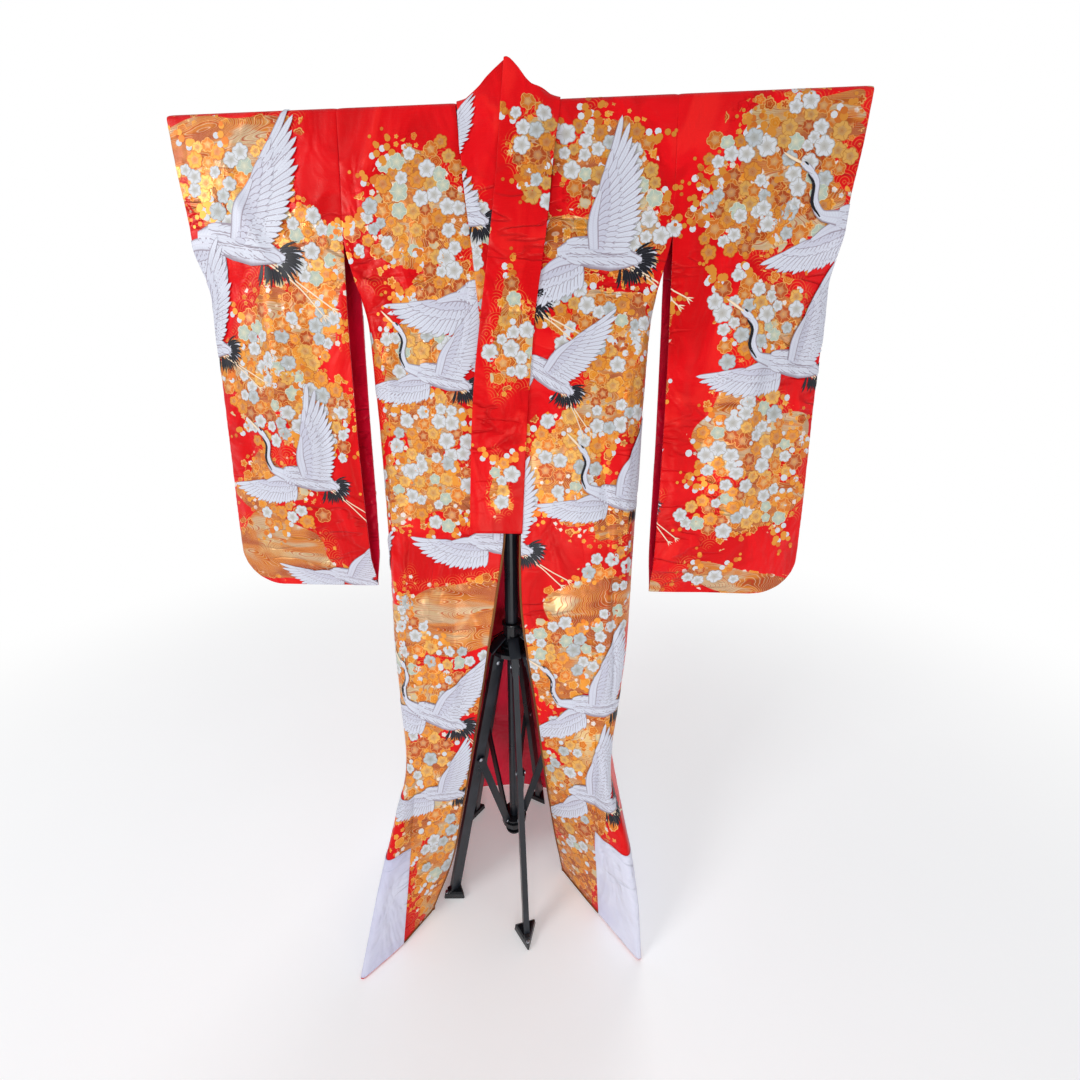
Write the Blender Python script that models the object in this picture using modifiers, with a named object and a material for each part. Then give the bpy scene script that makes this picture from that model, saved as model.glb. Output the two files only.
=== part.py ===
"""Uchikake wedding kimono hanging open on a five-legged garment stand.

Metres, +Z up. The origin lies on the floor at the centre of the object's box, -Y is the front and
+X is the viewer's right. Left and right below are the viewer's. Tables give places from the pole's
axis, and the empty "pole_axis" carries every piece to its place.
"""

from collections import namedtuple
from math import asin, cos, pi, radians, sin, sqrt

import bmesh
import bpy
from mathutils import Matrix, Vector

# Driving dimensions
BODY_HALF = 0.335  # centre back to sleeve seam
BAR_Z = 1.834
BAR_RADIUS = 0.0125
BAR_SEAT = 0.0007  # the bar stands this much above the middle of the fold that hangs on it
BAR_END = 0.672
POLE_Y = 0.02725
CLOTH = 0.0016  # wall of one lined panel
BAND = 0.0030  # the collar is folded double
SKIN = 0.0012  # lining and hem cover
GAP = 0.0003
FOLD_RADIUS = BAR_RADIUS + 0.0015 + CLOTH / 2
SLEEVE_BOTTOM = 0.822
SLEEVE_CORNER = 0.095
SLEEVE_SEAM_END = 1.600  # the sleeve is sewn to the body down to here
SIDE_SEAM_TOP = 1.430  # the body's side is open from the sleeve down to here
HEM_Z = 0.0015
SKIN_HEM_Z = 0.0040  # linings and hem covers stop above the cloth that backs them
OKUMI_TOP = 1.600
OKUMI_HEM_Z = 0.0064
COLLAR_END_Z = 0.985
PINCH_ABOVE = 0.530
PINCH_Z = 0.380  # the body is narrowest here, and flares below
HEM_KNEE = 0.140
HEM_COVER_TOPS = {1: 0.240, -1: 0.210}
LINING_TOP = 1.060
FUKI_RADIUS = 0.0025
NECK_HALF = 0.100
NECK_DROP = 0.042
NECK_BULGE = 0.018
NECK_TURN = 0.022  # the shoulder fold runs out over this width beside the neck
LEG_COUNT = 5
LEG_TURN = radians(15.3)  # the front leg's turn from -Y towards +X
FOOT_REACH = 0.176
POLE_TOP = 1.886

# One row for each height. x grows outwards from the pole and y backwards. back is the centre back,
# corner the rear outer corner, ridge the front outer corner, seam the okumi seam, edge the opening.
Section = namedtuple("Section", "z back_y corner_x corner_y ridge_x ridge_y seam_x seam_y edge_x edge_y")
RIGHT_SECTIONS = (
    Section(BAR_Z, 0.0153, 0.3350, 0.0153, 0.3350, -0.0153, 0.1040, -0.0153, 0.1000, -0.0153),
    Section(1.700, 0.0300, 0.3350, 0.0240, 0.3350, -0.0240, 0.0950, -0.0300, 0.0910, -0.0300),
    Section(1.600, 0.0420, 0.3350, 0.0300, 0.3350, -0.0300, 0.0860, -0.0380, 0.0820, -0.0380),
    Section(1.470, 0.0560, 0.3080, 0.0400, 0.3080, -0.0350, 0.0920, -0.0520, 0.0650, -0.0520),
    Section(1.290, 0.0700, 0.3000, 0.0550, 0.3000, -0.0360, 0.1160, -0.0590, 0.0500, -0.0590),
    Section(1.100, 0.0850, 0.2980, 0.0680, 0.2980, -0.0370, 0.1480, -0.0620, 0.0400, -0.0630),
    Section(0.990, 0.0950, 0.2960, 0.0760, 0.2950, -0.0400, 0.1660, -0.0630, 0.0330, -0.0640),
    Section(0.820, 0.1120, 0.2920, 0.0880, 0.2930, -0.0480, 0.1880, -0.0640, 0.0330, -0.0620),
    Section(0.690, 0.1250, 0.2880, 0.0980, 0.2860, -0.0600, 0.2000, -0.0680, 0.0460, -0.0620),
    Section(0.530, 0.1430, 0.2760, 0.1080, 0.2640, -0.0850, 0.2080, -0.0820, 0.0680, -0.0640),
    Section(0.380, 0.1620, 0.2640, 0.1200, 0.2440, -0.1250, 0.2110, -0.0970, 0.0860, -0.0620),
    Section(0.270, 0.1760, 0.2760, 0.1280, 0.2840, -0.1640, 0.2120, -0.1080, 0.1000, -0.0590),
    Section(0.140, 0.1960, 0.2820, 0.1560, 0.3080, -0.1900, 0.2180, -0.1160, 0.1180, -0.0520),
    Section(0.000, 0.2085, 0.2820, 0.1700, 0.3180, -0.2080, 0.2280, -0.1230, 0.1400, -0.0360),
)
LEFT_SECTIONS = (
    Section(BAR_Z, 0.0153, 0.3350, 0.0153, 0.3350, -0.0153, 0.0940, -0.0153, 0.0880, -0.0153),
    Section(1.700, 0.0300, 0.3350, 0.0240, 0.3350, -0.0240, 0.0810, -0.0270, 0.0770, -0.0270),
    Section(1.600, 0.0420, 0.3350, 0.0300, 0.3350, -0.0300, 0.0710, -0.0330, 0.0670, -0.0330),
    Section(1.470, 0.0560, 0.3080, 0.0400, 0.3060, -0.0350, 0.0790, -0.0430, 0.0530, -0.0430),
    Section(1.290, 0.0700, 0.3000, 0.0550, 0.3000, -0.0360, 0.1110, -0.0490, 0.0410, -0.0490),
    Section(1.100, 0.0850, 0.2990, 0.0680, 0.2990, -0.0370, 0.1450, -0.0520, 0.0230, -0.0520),
    Section(0.990, 0.0950, 0.2990, 0.0760, 0.2990, -0.0400, 0.1610, -0.0560, 0.0090, -0.0550),
    Section(0.820, 0.1120, 0.2980, 0.0880, 0.3000, -0.0480, 0.1850, -0.0640, 0.0310, -0.0600),
    Section(0.690, 0.1250, 0.2920, 0.0980, 0.2950, -0.0600, 0.2010, -0.0730, 0.0520, -0.0660),
    Section(0.530, 0.1430, 0.2800, 0.1080, 0.2760, -0.0850, 0.2160, -0.0900, 0.0760, -0.0780),
    Section(0.380, 0.1620, 0.2700, 0.1200, 0.2560, -0.1240, 0.2260, -0.1110, 0.1010, -0.0920),
    Section(0.270, 0.1760, 0.2780, 0.1280, 0.2760, -0.1680, 0.2330, -0.1320, 0.1200, -0.1030),
    Section(0.140, 0.1960, 0.2850, 0.1560, 0.3020, -0.2120, 0.2390, -0.1640, 0.1460, -0.1180),
    Section(0.000, 0.2085, 0.2860, 0.1700, 0.3200, -0.2720, 0.2450, -0.2030, 0.1970, -0.1400),
)
SECTIONS = {1: RIGHT_SECTIONS, -1: LEFT_SECTIONS}

# How far a corner is rounded along its sides, by height.
Rounding = namedtuple("Rounding", "z corner ridge")
ROUNDINGS = (
    Rounding(BAR_Z, 0.030, 0.030),
    Rounding(1.300, 0.050, 0.050),
    Rounding(0.820, 0.070, 0.060),
    Rounding(0.380, 0.075, 0.045),
    Rounding(0.140, 0.075, 0.030),
    Rounding(0.000, 0.075, 0.018),
)

# Soft hanging folds: where along a panel from its first seam, how wide and deep, and their heights.
Fold = namedtuple("Fold", "place width depth top bottom")
FOLDS = {
    "back": (
        Fold(0.20, 0.07, 0.007, 1.60, 0.20),
        Fold(0.52, 0.09, -0.009, 1.50, 0.00),
        Fold(0.78, 0.06, 0.006, 1.30, 0.35),
    ),
    "front": (
        Fold(0.50, 0.06, 0.004, 1.55, 0.75),
        Fold(0.74, 0.05, -0.005, 1.30, 0.45),
    ),
    "okumi": (Fold(0.50, 0.20, 0.003, 1.20, 0.30),),
}

# The sleeve: its outer edge and the half depth of its bag at the open inner side.
Sleeve = namedtuple("Sleeve", "z outer_x inner_x half_depth")
SLEEVES = (
    Sleeve(BAR_Z, 0.6900, 0.3350, 0.0153),
    Sleeve(1.740, 0.6790, 0.3350, 0.0225),
    Sleeve(1.640, 0.6650, 0.3350, 0.0280),
    Sleeve(1.530, 0.6610, 0.3365, 0.0325),
    Sleeve(1.400, 0.6660, 0.3390, 0.0335),
    Sleeve(1.200, 0.6690, 0.3405, 0.0325),
    Sleeve(1.000, 0.6740, 0.3390, 0.0280),
    Sleeve(0.900, 0.6750, 0.3380, 0.0220),
    Sleeve(SLEEVE_BOTTOM, 0.6750, 0.3370, 0.0012),
)
SLEEVE_FOLDS = (
    Fold(0.22, 0.10, 0.006, 1.50, 0.90),
    Fold(0.50, 0.12, -0.007, 1.62, 0.88),
    Fold(0.78, 0.09, 0.005, 1.45, 0.95),
)

# The collar bands as they lie on the fronts: sewn edge, free edge, and how far in front of the pole.
Band = namedtuple("Band", "z sewn_x free_x y")
BANDS = {
    1: (
        Band(1.926, 0.1120, 0.0050, -0.0250),
        Band(1.825, 0.1090, -0.0040, -0.0310),
        Band(1.725, 0.0970, -0.0120, -0.0390),
        Band(1.600, 0.0850, -0.0260, -0.0480),
        Band(1.440, 0.0630, -0.0480, -0.0580),
        Band(1.310, 0.0520, -0.0640, -0.0620),
        Band(1.190, 0.0450, -0.0730, -0.0650),
        Band(0.985, 0.0350, -0.0820, -0.0680),
    ),
    -1: (
        Band(1.926, -0.1020, 0.0110, -0.0205),
        Band(1.825, -0.0900, 0.0230, -0.0255),
        Band(1.725, -0.0820, 0.0300, -0.0320),
        Band(1.600, -0.0680, 0.0400, -0.0380),
        Band(1.440, -0.0520, 0.0560, -0.0470),
        Band(1.310, -0.0440, 0.0640, -0.0520),
        Band(1.190, -0.0340, 0.0740, -0.0550),
        Band(0.985, -0.0100, 0.0980, -0.0580),
    ),
}
# The collar's upper edge, tented by the pole's end.
Roof = namedtuple("Roof", "x z")
ROOF = (
    Roof(-0.114, 1.8515),
    Roof(-0.096, 1.8515),
    Roof(-0.070, 1.8545),
    Roof(-0.048, 1.8615),
    Roof(-0.032, 1.8775),
    Roof(-0.010, 1.8955),
    Roof(0.008, 1.9060),
    Roof(0.028, 1.8900),
    Roof(0.045, 1.8690),
    Roof(0.058, 1.8580),
    Roof(0.080, 1.8545),
    Roof(0.096, 1.8515),
    Roof(0.122, 1.8515),
)


def smooth(low, high, value):
    t = min(max((value - low) / (high - low), 0.0), 1.0)
    return t * t * (3 - 2 * t)


def curve_at(rows, key, where):
    """A smooth curve through one column of a table whose first column rises or falls."""
    first = [row[0] for row in rows]
    values = [getattr(row, key) for row in rows]
    if first[0] > first[-1]:
        first.reverse()
        values.reverse()
    where = min(max(where, first[0]), first[-1])
    i = 0
    while i < len(first) - 2 and where > first[i + 1]:
        i += 1

    def slope(j):
        a, b = max(j - 1, 0), min(j + 1, len(first) - 1)
        return (values[b] - values[a]) / (first[b] - first[a])

    span = first[i + 1] - first[i]
    t = (where - first[i]) / span
    return (
        values[i] * (2 * t**3 - 3 * t**2 + 1)
        + values[i + 1] * (3 * t**2 - 2 * t**3)
        + slope(i) * span * (t**3 - 2 * t**2 + t)
        + slope(i + 1) * span * (t**3 - t**2)
    )


# ---------------------------------------------------------------- body cloth
CORNER_STEPS = 6
TURN_WEIGHT = 0.05  # metres of path that one radian of turn counts as when columns are shared out


def rounded(start, corner, end, reach):
    """Points from start to end round a corner that is cut back by reach on both its sides."""
    first, last = start - corner, end - corner
    before = corner + first * min(reach / max(first.length, 1e-9), 0.92)
    after = corner + last * min(reach / max(last.length, 1e-9), 0.92)
    points = [start + (before - start) * k / 4 for k in range(4)]
    for k in range(CORNER_STEPS + 1):
        t = k / CORNER_STEPS
        points.append(before * (1 - t) ** 2 + corner * 2 * t * (1 - t) + after * t * t)
    return points + [after + (end - after) * k / 4 for k in range(1, 5)]


def along(points, u):
    """The point a share u of the way along, with more columns where the path turns."""
    total, sums = 0.0, [0.0]
    for i in range(1, len(points)):
        total += (points[i] - points[i - 1]).length
        if i + 1 < len(points):
            a, b = points[i] - points[i - 1], points[i + 1] - points[i]
            if a.length > 1e-6 and b.length > 1e-6:
                total += TURN_WEIGHT * a.angle(b)
        sums.append(total)
    target, i = u * total, 1
    while i < len(sums) - 1 and sums[i] < target:
        i += 1
    span = sums[i] - sums[i - 1]
    return points[i - 1].lerp(points[i], (target - sums[i - 1]) / span if span > 1e-9 else 0.0)


def body_path(side, panel, z):
    """The panel's line at this height, in plan, from its first seam to its last."""
    rows = SECTIONS[side]

    def place(name):
        x = curve_at(rows, name + "_x", z) if name != "back" else 0.0
        return Vector((side * x, curve_at(rows, name + "_y", z)))

    corner, ridge = place("corner"), place("ridge")
    middle = (corner + ridge) / 2
    shut = smooth(SIDE_SEAM_TOP + 0.09, SIDE_SEAM_TOP, z)
    if panel == "back":
        return rounded(place("back"), corner, corner.lerp(middle, shut), curve_at(ROUNDINGS, "corner", z))
    if panel == "front":
        return rounded(ridge.lerp(middle, shut), ridge, place("seam"), curve_at(ROUNDINGS, "ridge", z))
    return [place("seam"), place("edge")]


def fold_depth(folds, u, z):
    depth = 0.0
    for fold in folds:
        across = (u - fold.place) / fold.width
        fade = smooth(fold.top, fold.top - 0.25, z) * smooth(fold.bottom - 0.02, fold.bottom + 0.25, z)
        depth += fold.depth * fade / (1 + across**2) ** 2
    return depth


def neck_bulge(x, z):
    """The back stands off the pole where the neck hole leaves it free of the bar."""
    return NECK_BULGE * max(1 - (x / (NECK_HALF + 0.005)) ** 2, 0.0) ** 2 * smooth(1.60, 1.76, z)


def body_point(side, panel, u, z):
    points = body_path(side, panel, z)
    here = along(points, u)
    ahead = along(points, min(u + 0.02, 1.0)) - along(points, max(u - 0.02, 0.0))
    outward = Vector((ahead.y, -ahead.x)).normalized() * (-side if ahead.length > 1e-7 else 0)
    at_seam = smooth(0.0, 0.12, u) * smooth(1.0, 0.88, u)
    here = here + outward * fold_depth(FOLDS[panel], u, z) * at_seam
    return Vector((here.x, here.y + (neck_bulge(here.x, z) if panel == "back" else 0.0), z))


def shoulder_arc(point, angle, radius):
    """Carries a point at the bar's height round the bar; 90 degrees is the top of the fold."""
    sign = 1 if point.y > 0 else -1
    y = point.y - sign * radius * (1 - cos(angle))
    return Vector((point.x, y, BAR_Z + radius * sin(angle)))


ARC_ANGLES = (89.0, 62.0, 31.0)


def body_heights(low, high=BAR_Z, most=0.105):
    """Row heights from high down to low, closer together where the cloth kinks near the floor."""
    upper_marks = (BAR_Z, OKUMI_TOP, SIDE_SEAM_TOP, LINING_TOP, COLLAR_END_Z)
    marks = (*upper_marks, PINCH_ABOVE, PINCH_Z, *HEM_COVER_TOPS.values(), HEM_KNEE, HEM_Z)
    heights = [marks[0]]
    for upper, lower in zip(marks, marks[1:]):
        count = max(1, round((upper - lower) / most))
        heights += [upper + (lower - upper) * (k + 1) / count for k in range(count)]
    return [z for z in heights if low < z - 1e-6 and z <= high + 1e-6] + [low]


def body_rows(side, panel, low, high=BAR_Z):
    """One function for each row, from the shoulder fold down, giving the point at u."""
    rows = []
    if high == BAR_Z:
        for degrees in ARC_ANGLES:
            rows.append(
                lambda u, a=radians(degrees): shoulder_arc(body_point(side, panel, u, BAR_Z), a, FOLD_RADIUS)
            )
    for z in body_heights(low, high):
        rows.append(lambda u, z=z: body_point(side, panel, u, z))
    return rows


def neck_top(x):
    """The height of the back's upper edge under the neck."""
    return BAR_Z - NECK_DROP * sqrt(max(1 - (abs(x) / NECK_HALF) ** 2, 0.0))


def back_rows(side):
    """The back panel's rows: round the bar at the shoulder, and lower behind the neck."""
    fold_top = BAR_Z + FOLD_RADIUS

    def lowered(u, z, angle):
        point = body_point(side, "back", u, z)
        if abs(point.x) > NECK_HALF:
            angle *= smooth(NECK_HALF - 0.004, NECK_HALF + NECK_TURN, abs(point.x))
            return shoulder_arc(point, angle, FOLD_RADIUS) if z >= BAR_Z else point
        level = z if z < BAR_Z else BAR_Z + FOLD_RADIUS * sin(angle)
        level -= (fold_top - neck_top(point.x)) * smooth(1.60, fold_top, level)
        return body_point(side, "back", u, level)

    rows = [lambda u, a=radians(d): lowered(u, BAR_Z, a) for d in ARC_ANGLES]
    rows += [lambda u, z=z: lowered(u, z, 0.0) for z in body_heights(HEM_Z)]
    return rows


# ---------------------------------------------------------------- making sheets
def new_material(name, colour, roughness, metallic=0.0):
    material = bpy.data.materials.new(name)
    material.use_nodes = True
    shader = material.node_tree.nodes["Principled BSDF"]
    shader.inputs["Base Color"].default_value = (*colour, 1.0)
    shader.inputs["Roughness"].default_value = roughness
    shader.inputs["Metallic"].default_value = metallic
    return material


def add_object(name, data, material):
    obj = bpy.data.objects.new(name, data)
    data.materials.append(material)
    bpy.data.collections["uchikake_on_stand"].objects.link(obj)
    obj.parent = bpy.data.objects["pole_axis"]
    return obj


def add_sheet(name, rows, columns, thickness, material, outward, out=0.0, trim=(GAP / 2, GAP / 2)):
    """A thin shell through the rows.

    columns is a count, or the share of the width of each column. outward is roughly where the outer
    face looks, out moves the shell off the rows' surface, and trim cuts back its first and last seams.
    """
    shares = [k / columns for k in range(columns + 1)] if isinstance(columns, int) else columns
    last = len(rows) - 1
    bm = bmesh.new()
    bmesh.ops.create_grid(bm, x_segments=len(shares) - 1, y_segments=last, size=0.5)
    for vert in bm.verts:
        u = shares[round((vert.co.x + 0.5) * (len(shares) - 1))]
        row = rows[round((0.5 - vert.co.y) * last)]
        width = max((row(1.0) - row(0.0)).length, 0.004)
        vert.co = row(min(max(u, trim[0] / width), 1 - trim[1] / width))
    bm.normal_update()
    if sum(face.normal.dot(outward) * face.calc_area() for face in bm.faces) < 0:
        bmesh.ops.reverse_faces(bm, faces=bm.faces)
    if out:
        bm.normal_update()
        moved = {vert: vert.co + vert.normal * out * vert.calc_shell_factor() for vert in bm.verts}
        for vert, place in moved.items():
            vert.co = place
    mesh = bpy.data.meshes.new(name)
    bm.to_mesh(mesh)
    bm.free()
    mesh.shade_smooth()
    obj = add_object(name, mesh, material)
    shell = obj.modifiers.new("wall", "SOLIDIFY")
    shell.thickness = thickness
    shell.offset = 0.0
    shell.use_even_offset = True
    return obj


# Shares of the back's width at which its columns stand, closer together beside the neck.
BESIDE_NECK = (0.298, 0.316, 0.332, 0.348, 0.366)
BACK_COLUMNS = (0.0, 0.09, 0.18, 0.25, *BESIDE_NECK, 0.48, 0.60, 0.71, 0.80, 0.87, 0.93, 1.0)
FRONT_COLUMNS = 10
OKUMI_COLUMNS = 4
SLEEVE_COLUMNS = 8
COLLAR_COLUMNS = 5
BACK_COLLAR_COLUMNS = 14


def body_cloth(materials):
    brocade, white = materials["brocade"], materials["white_silk"]
    out = CLOTH / 2 + GAP + SKIN / 2
    for side, word in ((-1, "left"), (1, "right")):
        backwards, sideways = Vector((0, 1, 0)), Vector((side, -0.5, 0))
        front = body_rows(side, "front", HEM_Z)
        okumi = body_rows(side, "okumi", OKUMI_HEM_Z, OKUMI_TOP)
        add_sheet("back_" + word, back_rows(side), BACK_COLUMNS, CLOTH, brocade, backwards)
        add_sheet("front_" + word, front, FRONT_COLUMNS, CLOTH, brocade, sideways)
        add_sheet("okumi_" + word, okumi, OKUMI_COLUMNS, CLOTH, brocade, sideways)
        at_centre = (0.0016, GAP / 2)
        lining = body_rows(side, "back", SKIN_HEM_Z, LINING_TOP)
        add_sheet(
            "back_lining_" + word, lining, BACK_COLUMNS, SKIN, materials["lining"], backwards, -out, at_centre
        )
        behind = body_rows(side, "back", SKIN_HEM_Z, HEM_COVER_TOPS[side])
        add_sheet("hem_cover_back_" + word, behind, BACK_COLUMNS, SKIN, white, backwards, out)
        before = body_rows(side, "front", SKIN_HEM_Z, HEM_COVER_TOPS[side])
        add_sheet("hem_cover_front_" + word, before, FRONT_COLUMNS, SKIN, white, sideways, out)
        fuki_roll(side, word, materials["gold_silk"])


def fuki_roll(side, word, material):
    """The padded edge that runs down the opening and along the front hem."""
    reach = FUKI_RADIUS + GAP
    points = []
    floor = OKUMI_HEM_Z - reach - 0.0002
    for z in [COLLAR_END_Z - 0.004] + body_heights(0.03, COLLAR_END_Z - 0.01, 0.07) + [OKUMI_HEM_Z, floor]:
        seam, edge = body_path(side, "okumi", z)
        points.append((edge + (edge - seam).normalized() * reach).to_3d() + Vector((0, 0, z)))
    for u in (0.97, 0.75, 0.5, 0.25, 0.02):
        here = body_point(side, "okumi", u, OKUMI_HEM_Z)
        points.append(Vector((here.x, here.y, floor)))
    curve = bpy.data.curves.new("fuki_" + word, "CURVE")
    curve.dimensions = "3D"
    curve.bevel_depth = FUKI_RADIUS
    curve.bevel_resolution = 1
    curve.use_fill_caps = True
    spline = curve.splines.new("POLY")
    spline.points.add(len(points) - 1)
    for point, place in zip(spline.points, points):
        point.co = (*place, 1.0)
    add_object("fuki_" + word, curve, material)


# ---------------------------------------------------------------- sleeves
def sleeve_outer(z):
    """The outer edge, rounded into the bottom seam."""
    outer = curve_at(SLEEVES, "outer_x", z)
    rise = SLEEVE_BOTTOM + SLEEVE_CORNER - z
    if rise <= 0:
        return outer
    return outer - SLEEVE_CORNER + sqrt(max(SLEEVE_CORNER**2 - rise**2, 0.0))


def sleeve_point(side, face, u, z):
    """face is -1 for the front layer and 1 for the back one; u runs from the inner side out."""
    inner, outer = curve_at(SLEEVES, "inner_x", z), sleeve_outer(z)
    open_depth = curve_at(SLEEVES, "half_depth", z)
    closed = CLOTH / 2 + GAP / 2 + 0.0002
    sewn = smooth(1.60, 1.50, z) * u**4
    rise = max(SLEEVE_BOTTOM + SLEEVE_CORNER - z, 0.0) / SLEEVE_CORNER
    depth = closed + (max(open_depth, closed) - closed) * (1 - sewn) * (1 - rise**3)
    sway = fold_depth(SLEEVE_FOLDS, u, z) * (1 - rise**2)
    edge_lift = 0.004 * smooth(1.50, 1.10, z) * side
    return Vector((side * (inner + (outer - inner) * u), face * depth + sway + edge_lift * u, z))


def sleeve_heights():
    upper = [BAR_Z, 1.75, 1.675, 1.60, 1.50, 1.38, 1.25, 1.13, 1.02]
    corner_turns = (0.0, 22.5, 42.0, 58.0, 72.0, 82.0)
    top = SLEEVE_BOTTOM + SLEEVE_CORNER
    return upper + [top - SLEEVE_CORNER * sin(radians(a)) for a in corner_turns] + [SLEEVE_BOTTOM]


def sleeve_rows(side, face, heights):
    rows = []
    if heights[0] == BAR_Z:
        for degrees in ARC_ANGLES:
            rows.append(
                lambda u, a=radians(degrees): shoulder_arc(sleeve_point(side, face, u, BAR_Z), a, FOLD_RADIUS)
            )
    return rows + [lambda u, z=z: sleeve_point(side, face, u, z) for z in heights]


def sleeves(materials):
    for side, word in ((-1, "left"), (1, "right")):
        for face, layer in ((-1, "front"), (1, "back")):
            name = f"sleeve_{layer}_{word}"
            rows, outward = sleeve_rows(side, face, sleeve_heights()), Vector((0, face, 0))
            add_sheet(name, rows, SLEEVE_COLUMNS, CLOTH, materials["brocade"], outward)
        heights = [z for z in sleeve_heights() if 0.87 < z < SLEEVE_SEAM_END + 0.001]
        shares = [k / SLEEVE_COLUMNS for k in range(4)]
        inward = -(CLOTH / 2 + GAP + SKIN / 2)
        add_sheet(
            "sleeve_lining_" + word,
            sleeve_rows(side, 1, heights),
            shares,
            SKIN,
            materials["lining"],
            Vector((0, 1, 0)),
            inward,
            (GAP / 2, 0.0),
        )


# ---------------------------------------------------------------- collar
BAND_RADIUS = FOLD_RADIUS + CLOTH / 2 + GAP + BAND / 2 + 0.0004  # the collar's turn over the shoulder fold
BAND_TURN = radians(80)
BACK_COLLAR_LEFT = -0.1080
BACK_COLLAR_RIGHT = 0.1160
BACK_COLLAR_LAP = 0.012  # how far it reaches down over the back's neck edge
BACK_COLLAR_TOP_Y = 0.0225


def over_bar(z):
    """How far from the pole's plane the collar lies where it turns over the shoulder."""
    lift = min(max(z - BAR_Z, 0.0), BAND_RADIUS * sin(BAND_TURN))
    return sqrt(BAND_RADIUS**2 - lift**2)


def collar_point(side, s, z):
    """s runs from the sewn edge to the free edge."""
    rows = BANDS[side]
    sewn, free = curve_at(rows, "sewn_x", z), curve_at(rows, "free_x", z)
    flat = curve_at(rows, "y", z)
    near_bar = smooth(1.76, BAR_Z, z) * smooth(0.45, 0.0, s)
    return Vector((sewn + (free - sewn) * s, flat + (-over_bar(z) - flat) * near_bar, z))


def collar_rows(side):
    """Rows from the tented top down to the cut end."""

    def tented(s, share):
        z = BAR_Z + 0.03
        for _ in range(5):  # the top edge's height depends on the x that it gives
            z = curve_at(ROOF, "z", collar_point(side, s, z).x) - (0.0 if side > 0 else 0.0008)
        rise = sin(BAND_TURN * (1 - share)) / sin(BAND_TURN)
        return collar_point(side, s, BAR_Z + (z - BAR_Z) * rise)

    rows = [lambda s, share=k / 5: tented(s, share) for k in range(6)]
    heights = (1.79, 1.75, 1.70, 1.60, 1.52, 1.44, 1.36, 1.28, 1.19, 1.09, COLLAR_END_Z)
    return rows + [lambda s, z=z: collar_point(side, s, z) for z in heights]


def back_collar_rows():
    """The band that stands behind the neck, from its tented edge down over the back's neck edge."""
    on_back = CLOTH / 2 + GAP + BAND / 2 + 0.0006

    def nape(x, z):
        z = min(z, BAR_Z)
        inner, outer = curve_at(RIGHT_SECTIONS, "back_y", z), curve_at(RIGHT_SECTIONS, "corner_y", z)
        return inner + (outer - inner) * abs(x) / BODY_HALF + neck_bulge(x, z) + on_back

    def place(u, share):
        x = BACK_COLLAR_LEFT + (BACK_COLLAR_RIGHT - BACK_COLLAR_LEFT) * u
        top, bottom = curve_at(ROOF, "z", x), neck_top(x) - BACK_COLLAR_LAP
        rise = sin(BAND_TURN * (1 - share)) / sin(BAND_TURN)
        z = bottom + (top - bottom) * rise
        leaning = nape(x, z) + (BACK_COLLAR_TOP_Y - nape(x, z)) * smooth(BAR_Z, POLE_TOP, z)
        at_end = max(smooth(0.20, 0.04, u), smooth(0.80, 0.96, u)) if z > BAR_Z else 0.0
        return Vector((x, leaning + (over_bar(z) - leaning) * at_end, z))

    return [lambda u, share=k / 8: place(u, share) for k in range(9)]


def collar(materials):
    forwards, backwards = Vector((0, -1, 0)), Vector((0, 1, 0))
    for side, word in ((-1, "left"), (1, "right")):
        add_sheet("collar_" + word, collar_rows(side), COLLAR_COLUMNS, BAND, materials["brocade"], forwards)
    add_sheet("collar_back", back_collar_rows(), BACK_COLLAR_COLUMNS, BAND, materials["brocade"], backwards)


# ---------------------------------------------------------------- stand
UPPER_RADIUS = 0.0165
LOWER_RADIUS = 0.0125
LOWER_END = 0.120
HUB_Z = 0.660
HUB_HEIGHT = 0.072
HUB_RADIUS = 0.0215
FLANGE_RADIUS = 0.0535
FLANGE = 0.010
LEG_TOP_REACH = 0.039
LEG_WIDTH = 0.025
LEG_THICK = 0.0135
FOOT_HEIGHT = 0.018
FOOT_RADIUS = 0.033
STRUT_WIDTH = 0.018
STRUT_THICK = 0.005
STRUT_SHARE = 0.43
RING_Z = 0.141
RING_RADIUS = 0.034
TEE_RADIUS = 0.0200
TEE_BELOW = 0.020
TEE_ABOVE = 0.018
RING_FLANGE = 0.012
RING_HEIGHT = 0.030
KNOB_RADIUS = 0.009
KNOB_LENGTH = 0.020
KNOB_RISE = 0.058  # above the hub's foot
KNOB_TURN = radians(50)
STRUT_FOOT_REACH = 0.026


def turned(name, profile, material, steps=16):
    """A solid of revolution about the pole from (radius, z) corners that run down the outer side first."""
    bm = bmesh.new()
    verts = [bm.verts.new((radius, 0, z)) for radius, z in profile]
    for a, b in zip(verts, verts[1:] + verts[:1]):
        bm.edges.new((a, b))
    mesh = bpy.data.meshes.new(name)
    bm.to_mesh(mesh)
    bm.free()
    obj = add_object(name, mesh, material)
    screw = obj.modifiers.new("turn", "SCREW")
    screw.steps = screw.render_steps = steps
    screw.use_merge_vertices = True
    screw.merge_threshold = 0.0001
    return obj


def tube(name, inner, outer, low, high, material):
    return turned(name, ((outer, high), (outer, low), (inner, low), (inner, high)), material)


def rod(name, radius, length, place, turn, material, segments=16):
    bm = bmesh.new()
    bmesh.ops.create_cone(
        bm, cap_ends=True, segments=segments, radius1=radius, radius2=radius, depth=length
    )
    mesh = bpy.data.meshes.new(name)
    bm.to_mesh(mesh)
    bm.free()
    obj = add_object(name, mesh, material)
    obj.matrix_local = Matrix.Translation(place) @ turn
    return obj


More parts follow.
